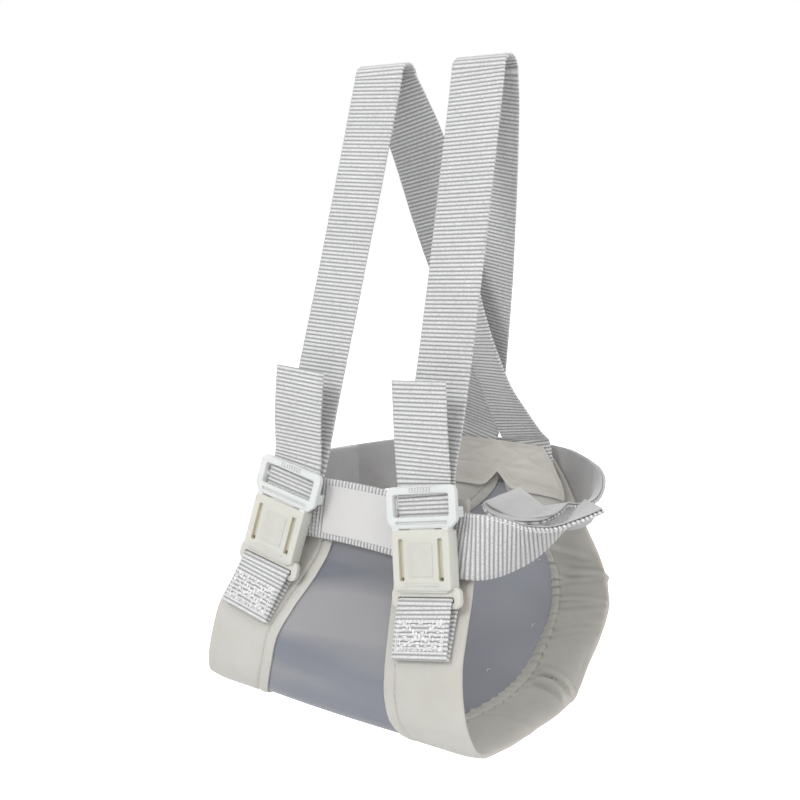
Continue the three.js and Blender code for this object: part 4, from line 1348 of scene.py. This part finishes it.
def socket_bmesh(side):
    """The lower half: body, side slots, raised panel and the loop that holds the tab."""
    bm = bmesh.new()
    body = round_outline(31.7, 20.1, 47.6, 1.6)
    slot = round_outline(2.7, 24.2, 43.4, 0.7, 4)
    slots = [[(x + across, down) for x, down in slot] for across in (SLOT_ACROSS, -SLOT_ACROSS)]
    add_plate(bm, body, slots, -1.5, 5.5, 0.7, wall=1)
    outer_faces = len(bm.faces)
    for x in (-SLOT_ACROSS, SLOT_ACROSS):
        add_block(bm, x - 1.5, x + 1.5, 0.1, 4.8, 23.6, 41.9, 0.2)
    # The slot floors take the second material, the slots' painted shade.
    bm.faces.ensure_lookup_table()
    for face in bm.faces[outer_faces:]:
        face.material_index = 1
    panel = round_outline(13.4, 26.2, 41.4, 0.8, 4)
    add_plate(bm, panel, [], -1.8, -1.2, 0.25)
    add_block(bm, -9.2, 9.2, -1.85, -1.2, 44.2, 45.6, 0.3)
    ears = round_outline(38.3, 46.1, 56.1, 3.5)
    slit = round_outline(30.9, 50.8, 53.3, 0.7, 4)
    add_plate(bm, ears, [slit], 0.75, 3.75, 0.7)
    add_block(bm, -13.5, 13.5, -0.9, 4.2, 45.6, 48.8, 0.7)
    into_buckle(bm, side)
    return bm


for name, side in SIDES.items():
    finished(
        adjuster_bmesh(side), "moulding_adjuster_" + name, ["buckle_adjuster_" + name],
        [adjuster_plastic], smooth=35,
    )
    finished(
        socket_bmesh(side), "moulding_socket_" + name, ["buckle_socket_" + name],
        [socket_plastic, slot_shade_plastic], smooth=35,
    )

# %% [markdown]
# ## Seams
#
# Every seam is a row of short stitches that sink a little into the cloth. Each stitch is a small
# stretched sphere of a few dozen faces, turned along the seam. A texture would be lighter, but real
# stitches catch the light and give the seam its beaded line.

# %% Stitch helper
def add_stitches(bm, line, thread, long, pitch):
    """Stitches along a line of (point, normal) pairs, in the tables' millimetres."""
    reached = lengths_along([point for point, _ in line])
    goal = pitch / 2
    k = 0
    while goal < reached[-1]:
        while k < len(line) - 2 and reached[k + 1] < goal:
            k += 1
        share = (goal - reached[k]) / max(reached[k + 1] - reached[k], 1e-6)
        spot = line[k][0].lerp(line[k + 1][0], share)
        run = (line[k + 1][0] - line[k][0]).normalized()
        normal = line[k][1].lerp(line[k + 1][1], share).normalized()
        side = normal.cross(run).normalized()
        turn = Matrix((run * long / 2, side * thread / 2, normal * thread / 2)).transposed().to_4x4()
        made = bmesh.ops.create_uvsphere(bm, u_segments=6, v_segments=5, radius=1)
        bmesh.ops.transform(bm, matrix=Matrix.Translation(spot) @ turn, verts=made["verts"])
        goal += pitch


def placed_bmesh(bm):
    """Moves a piece made in the tables' millimetres to its place, in metres."""
    for vert in bm.verts:
        vert.co = placed(vert.co)
    bmesh.ops.recalc_face_normals(bm, faces=bm.faces)


# %% Band seams
STITCH_OFF = 1.16


def band_seam(face, out_mm, start, stop, steps=300):
    """Points and normals of a seam on one face of the band."""
    line = []
    for k in range(steps + 1):
        along = start + (stop - start) * k / steps
        _, normal = band_frame(along)
        out = out_mm / band_width(along)
        lift = crumple(along, out, face, HEM / band_width(along))
        line.append((band_point(along, out) + normal * face * (STITCH_OFF + lift), normal * face))
    return line


for name, side in SIDES.items():
    seam = bmesh.new()
    for face in (1, -1):
        add_stitches(seam, band_seam(face, HEM, 0.02, 0.97), 0.5 if face > 0 else 0.34, 2.5, 3.4)
    placed_bmesh(seam)
    if side == LEFT:
        mirror_bmesh(seam)
    finished(seam, "seam_band_" + name, None, [ivory_thread])

# %% Patch seams
patch_seam = bmesh.new()
for side in (RIGHT, LEFT):
    for seam in PATCH_SEAMS:
        line = []
        for ax, az, bx, bz in seam:
            for k in range(25):
                x = side * (ax + (bx - ax) * k / 24)
                z = az + (bz - az) * k / 24
                front = patch_y(x, z) + patch_dent(x, z) - 0.62
                line.append((Vector((x, front, z)), Vector((0, -1, 0))))
        add_stitches(patch_seam, line, 0.45, 2.2, 3.0)
placed_bmesh(patch_seam)
finished(patch_seam, "seam_patch", None, [ivory_thread])

# %% [markdown]
# ### Stitches on webbing
#
# The tabs are sewn down with a dense box and cross, which reads as a field of short bright threads
# that run any way. Random places are seeded, so every run of the script gives the same stitches.

# %% Stitches on the tabs and the belt
def on_ribbon(even, distance, across_mm, lift):
    """A point and normal on a ribbon; lift is measured along its normal."""
    step = even[-1][3] / (len(even) - 1)
    middle, across, normal, _ = even[min(max(round(distance / step), 0), len(even) - 1)]
    return middle + across * across_mm + normal * lift, normal * (1 if lift > 0 else -1)


def ribbon_seam(bm, even, start, stop, lift, thread=0.55, long=2.4, pitch=2.9):
    """A straight seam between two places, each a distance along and a place across."""
    line = []
    for k in range(41):
        share = k / 40
        distance = start[0] + (stop[0] - start[0]) * share
        across = start[1] + (stop[1] - start[1]) * share
        line.append(on_ribbon(even, distance, across, lift))
    add_stitches(bm, line, thread, long, pitch)


for name, side in SIDES.items():
    even = even_rows(tab_rows(), 0.5)
    threads = bmesh.new()
    dice = random.Random(7 + side)
    for low, high in ((3.2, 3.2), (4.1, 4.1), (17.5, 17.5), (16.6, 16.6)):
        ribbon_seam(threads, even, (low, -12.8), (high, 12.8), -1.05, long=1.9, pitch=2.1)
    for across in (-12.8, -11.9, 12.8, 11.9):
        ribbon_seam(threads, even, (3.2, across), (17.5, across), -1.05, long=1.9, pitch=2.1)
    for shift in (-1.2, 0, 1.2):
        low = 4 + shift * 0.4
        high = 17 + shift * 0.4
        for end in (12, -12):
            ribbon_seam(threads, even, (low, -end), (high, end), -1.08, long=1.9, pitch=2.2)
    for _ in range(90):
        distance = dice.uniform(4, 17)
        across = dice.uniform(-12, 12)
        lean = dice.uniform(-1.3, 1.3)
        ribbon_seam(threads, even, (distance, across), (distance + lean, across + 2.0), -1.06, 0.6, 2.2, 2.3)
    placed_bmesh(threads)
    if side == LEFT:
        mirror_bmesh(threads)
    finished(threads, "seam_tab_" + name, None, [white_thread])

belt_even = even_rows(front_rows, 0.5)
belt_threads = bmesh.new()
label_start = next(row[3] for row in belt_even if row[0].x > -LABEL_LENGTH / 2 and row[0].y < 60)
for back in (1.2, 3.4, 5.6):
    ribbon_seam(
        belt_threads, belt_even, (label_start - back, -13.5), (label_start - back, 13.5), WEBBING_OUT + 1.0,
        long=1.6, pitch=2.0,
    )
flap_start = next(row[3] for row in belt_even if row[0].x > 50 and row[0].y < 60)
for k in range(26):
    distance = flap_start + k * 2.2
    ribbon_seam(
        belt_threads, belt_even, (distance, 13.8), (distance + 2, 13.8), WEBBING_OUT + 1.0,
        long=1.7, pitch=2.0,
    )
placed_bmesh(belt_threads)
finished(belt_threads, "seam_belt", None, [white_thread])

# %% [markdown]
# ## Floor and light
#
# The photograph is a cut-out on white, lit softly from the front left and above. A white world and
# a pale floor give that ground. The camera sees both a little brighter than the object does, so the
# ground stays white while the cloth keeps its shading.

# %% Floor
FLOOR_DROP = 0.12
floor_bm = bmesh.new()
bmesh.ops.create_grid(floor_bm, x_segments=1, y_segments=1, size=30)
bmesh.ops.translate(floor_bm, vec=(0, 0, cad_box[0][2] - FLOOR_DROP), verts=floor_bm.verts)
floor_mesh = bpy.data.meshes.new("floor")
floor_bm.to_mesh(floor_mesh)
floor_bm.free()
floor_material, floor_tree, floor_shader = new_material("floor_pale", roughness=0.9, specular_ior_level=0.1)
floor_tone = uneven(floor_tree, (0.93, 0.93, 0.93, 1), (0.91, 0.91, 0.91, 1), 1.0, 0.3)
floor_tree.links.new(floor_tone["Color"], floor_shader["Base Color"])
floor_shader["Emission Color"].default_value = (1, 1, 1, 1)
seen_floor = add(floor_tree, "LightPath")
floor_tree.links.new(
    sums(floor_tree, "MULTIPLY", seen_floor.outputs["Is Camera Ray"], 0.7), floor_shader["Emission Strength"]
)
floor_mesh.materials.append(floor_material)
linked("floor", floor_mesh)
print("floor at", round(cad_box[0][2] - FLOOR_DROP, 3))

# %% World and lights
world = bpy.data.worlds.new("studio")
bpy.context.scene.world = world
world.use_nodes = True
world_tree = world.node_tree
world_tree.nodes["Background"].inputs["Color"].default_value = (1, 1, 1, 1)
seen_world = add(world_tree, "LightPath")
world_strength = sums(world_tree, "MULTIPLY_ADD", seen_world.outputs["Is Camera Ray"], 0.24, 0.76)
world_tree.links.new(world_strength, world_tree.nodes["Background"].inputs["Strength"])
bpy.context.scene.view_settings.view_transform = "Standard"


def add_area(name, place, target, size, power):
    """A large soft light."""
    data = bpy.data.lights.new(name, "AREA")
    data.shape = "DISK"
    data.size = size
    data.energy = power
    light = linked(name, data)
    light.location = place
    light.rotation_euler = (Vector(target) - Vector(place)).to_track_quat("-Z", "Y").to_euler()


MIDDLE = (0, 0, -0.18)
add_area("key", (-0.15, -1.0, 0.55), MIDDLE, 0.4, 4.9)
add_area("fill", (0.95, -0.55, 0.75), MIDDLE, 0.7, 3.0)
add_area("back", (-0.35, 1.0, 0.6), MIDDLE, 0.7, 2.4)
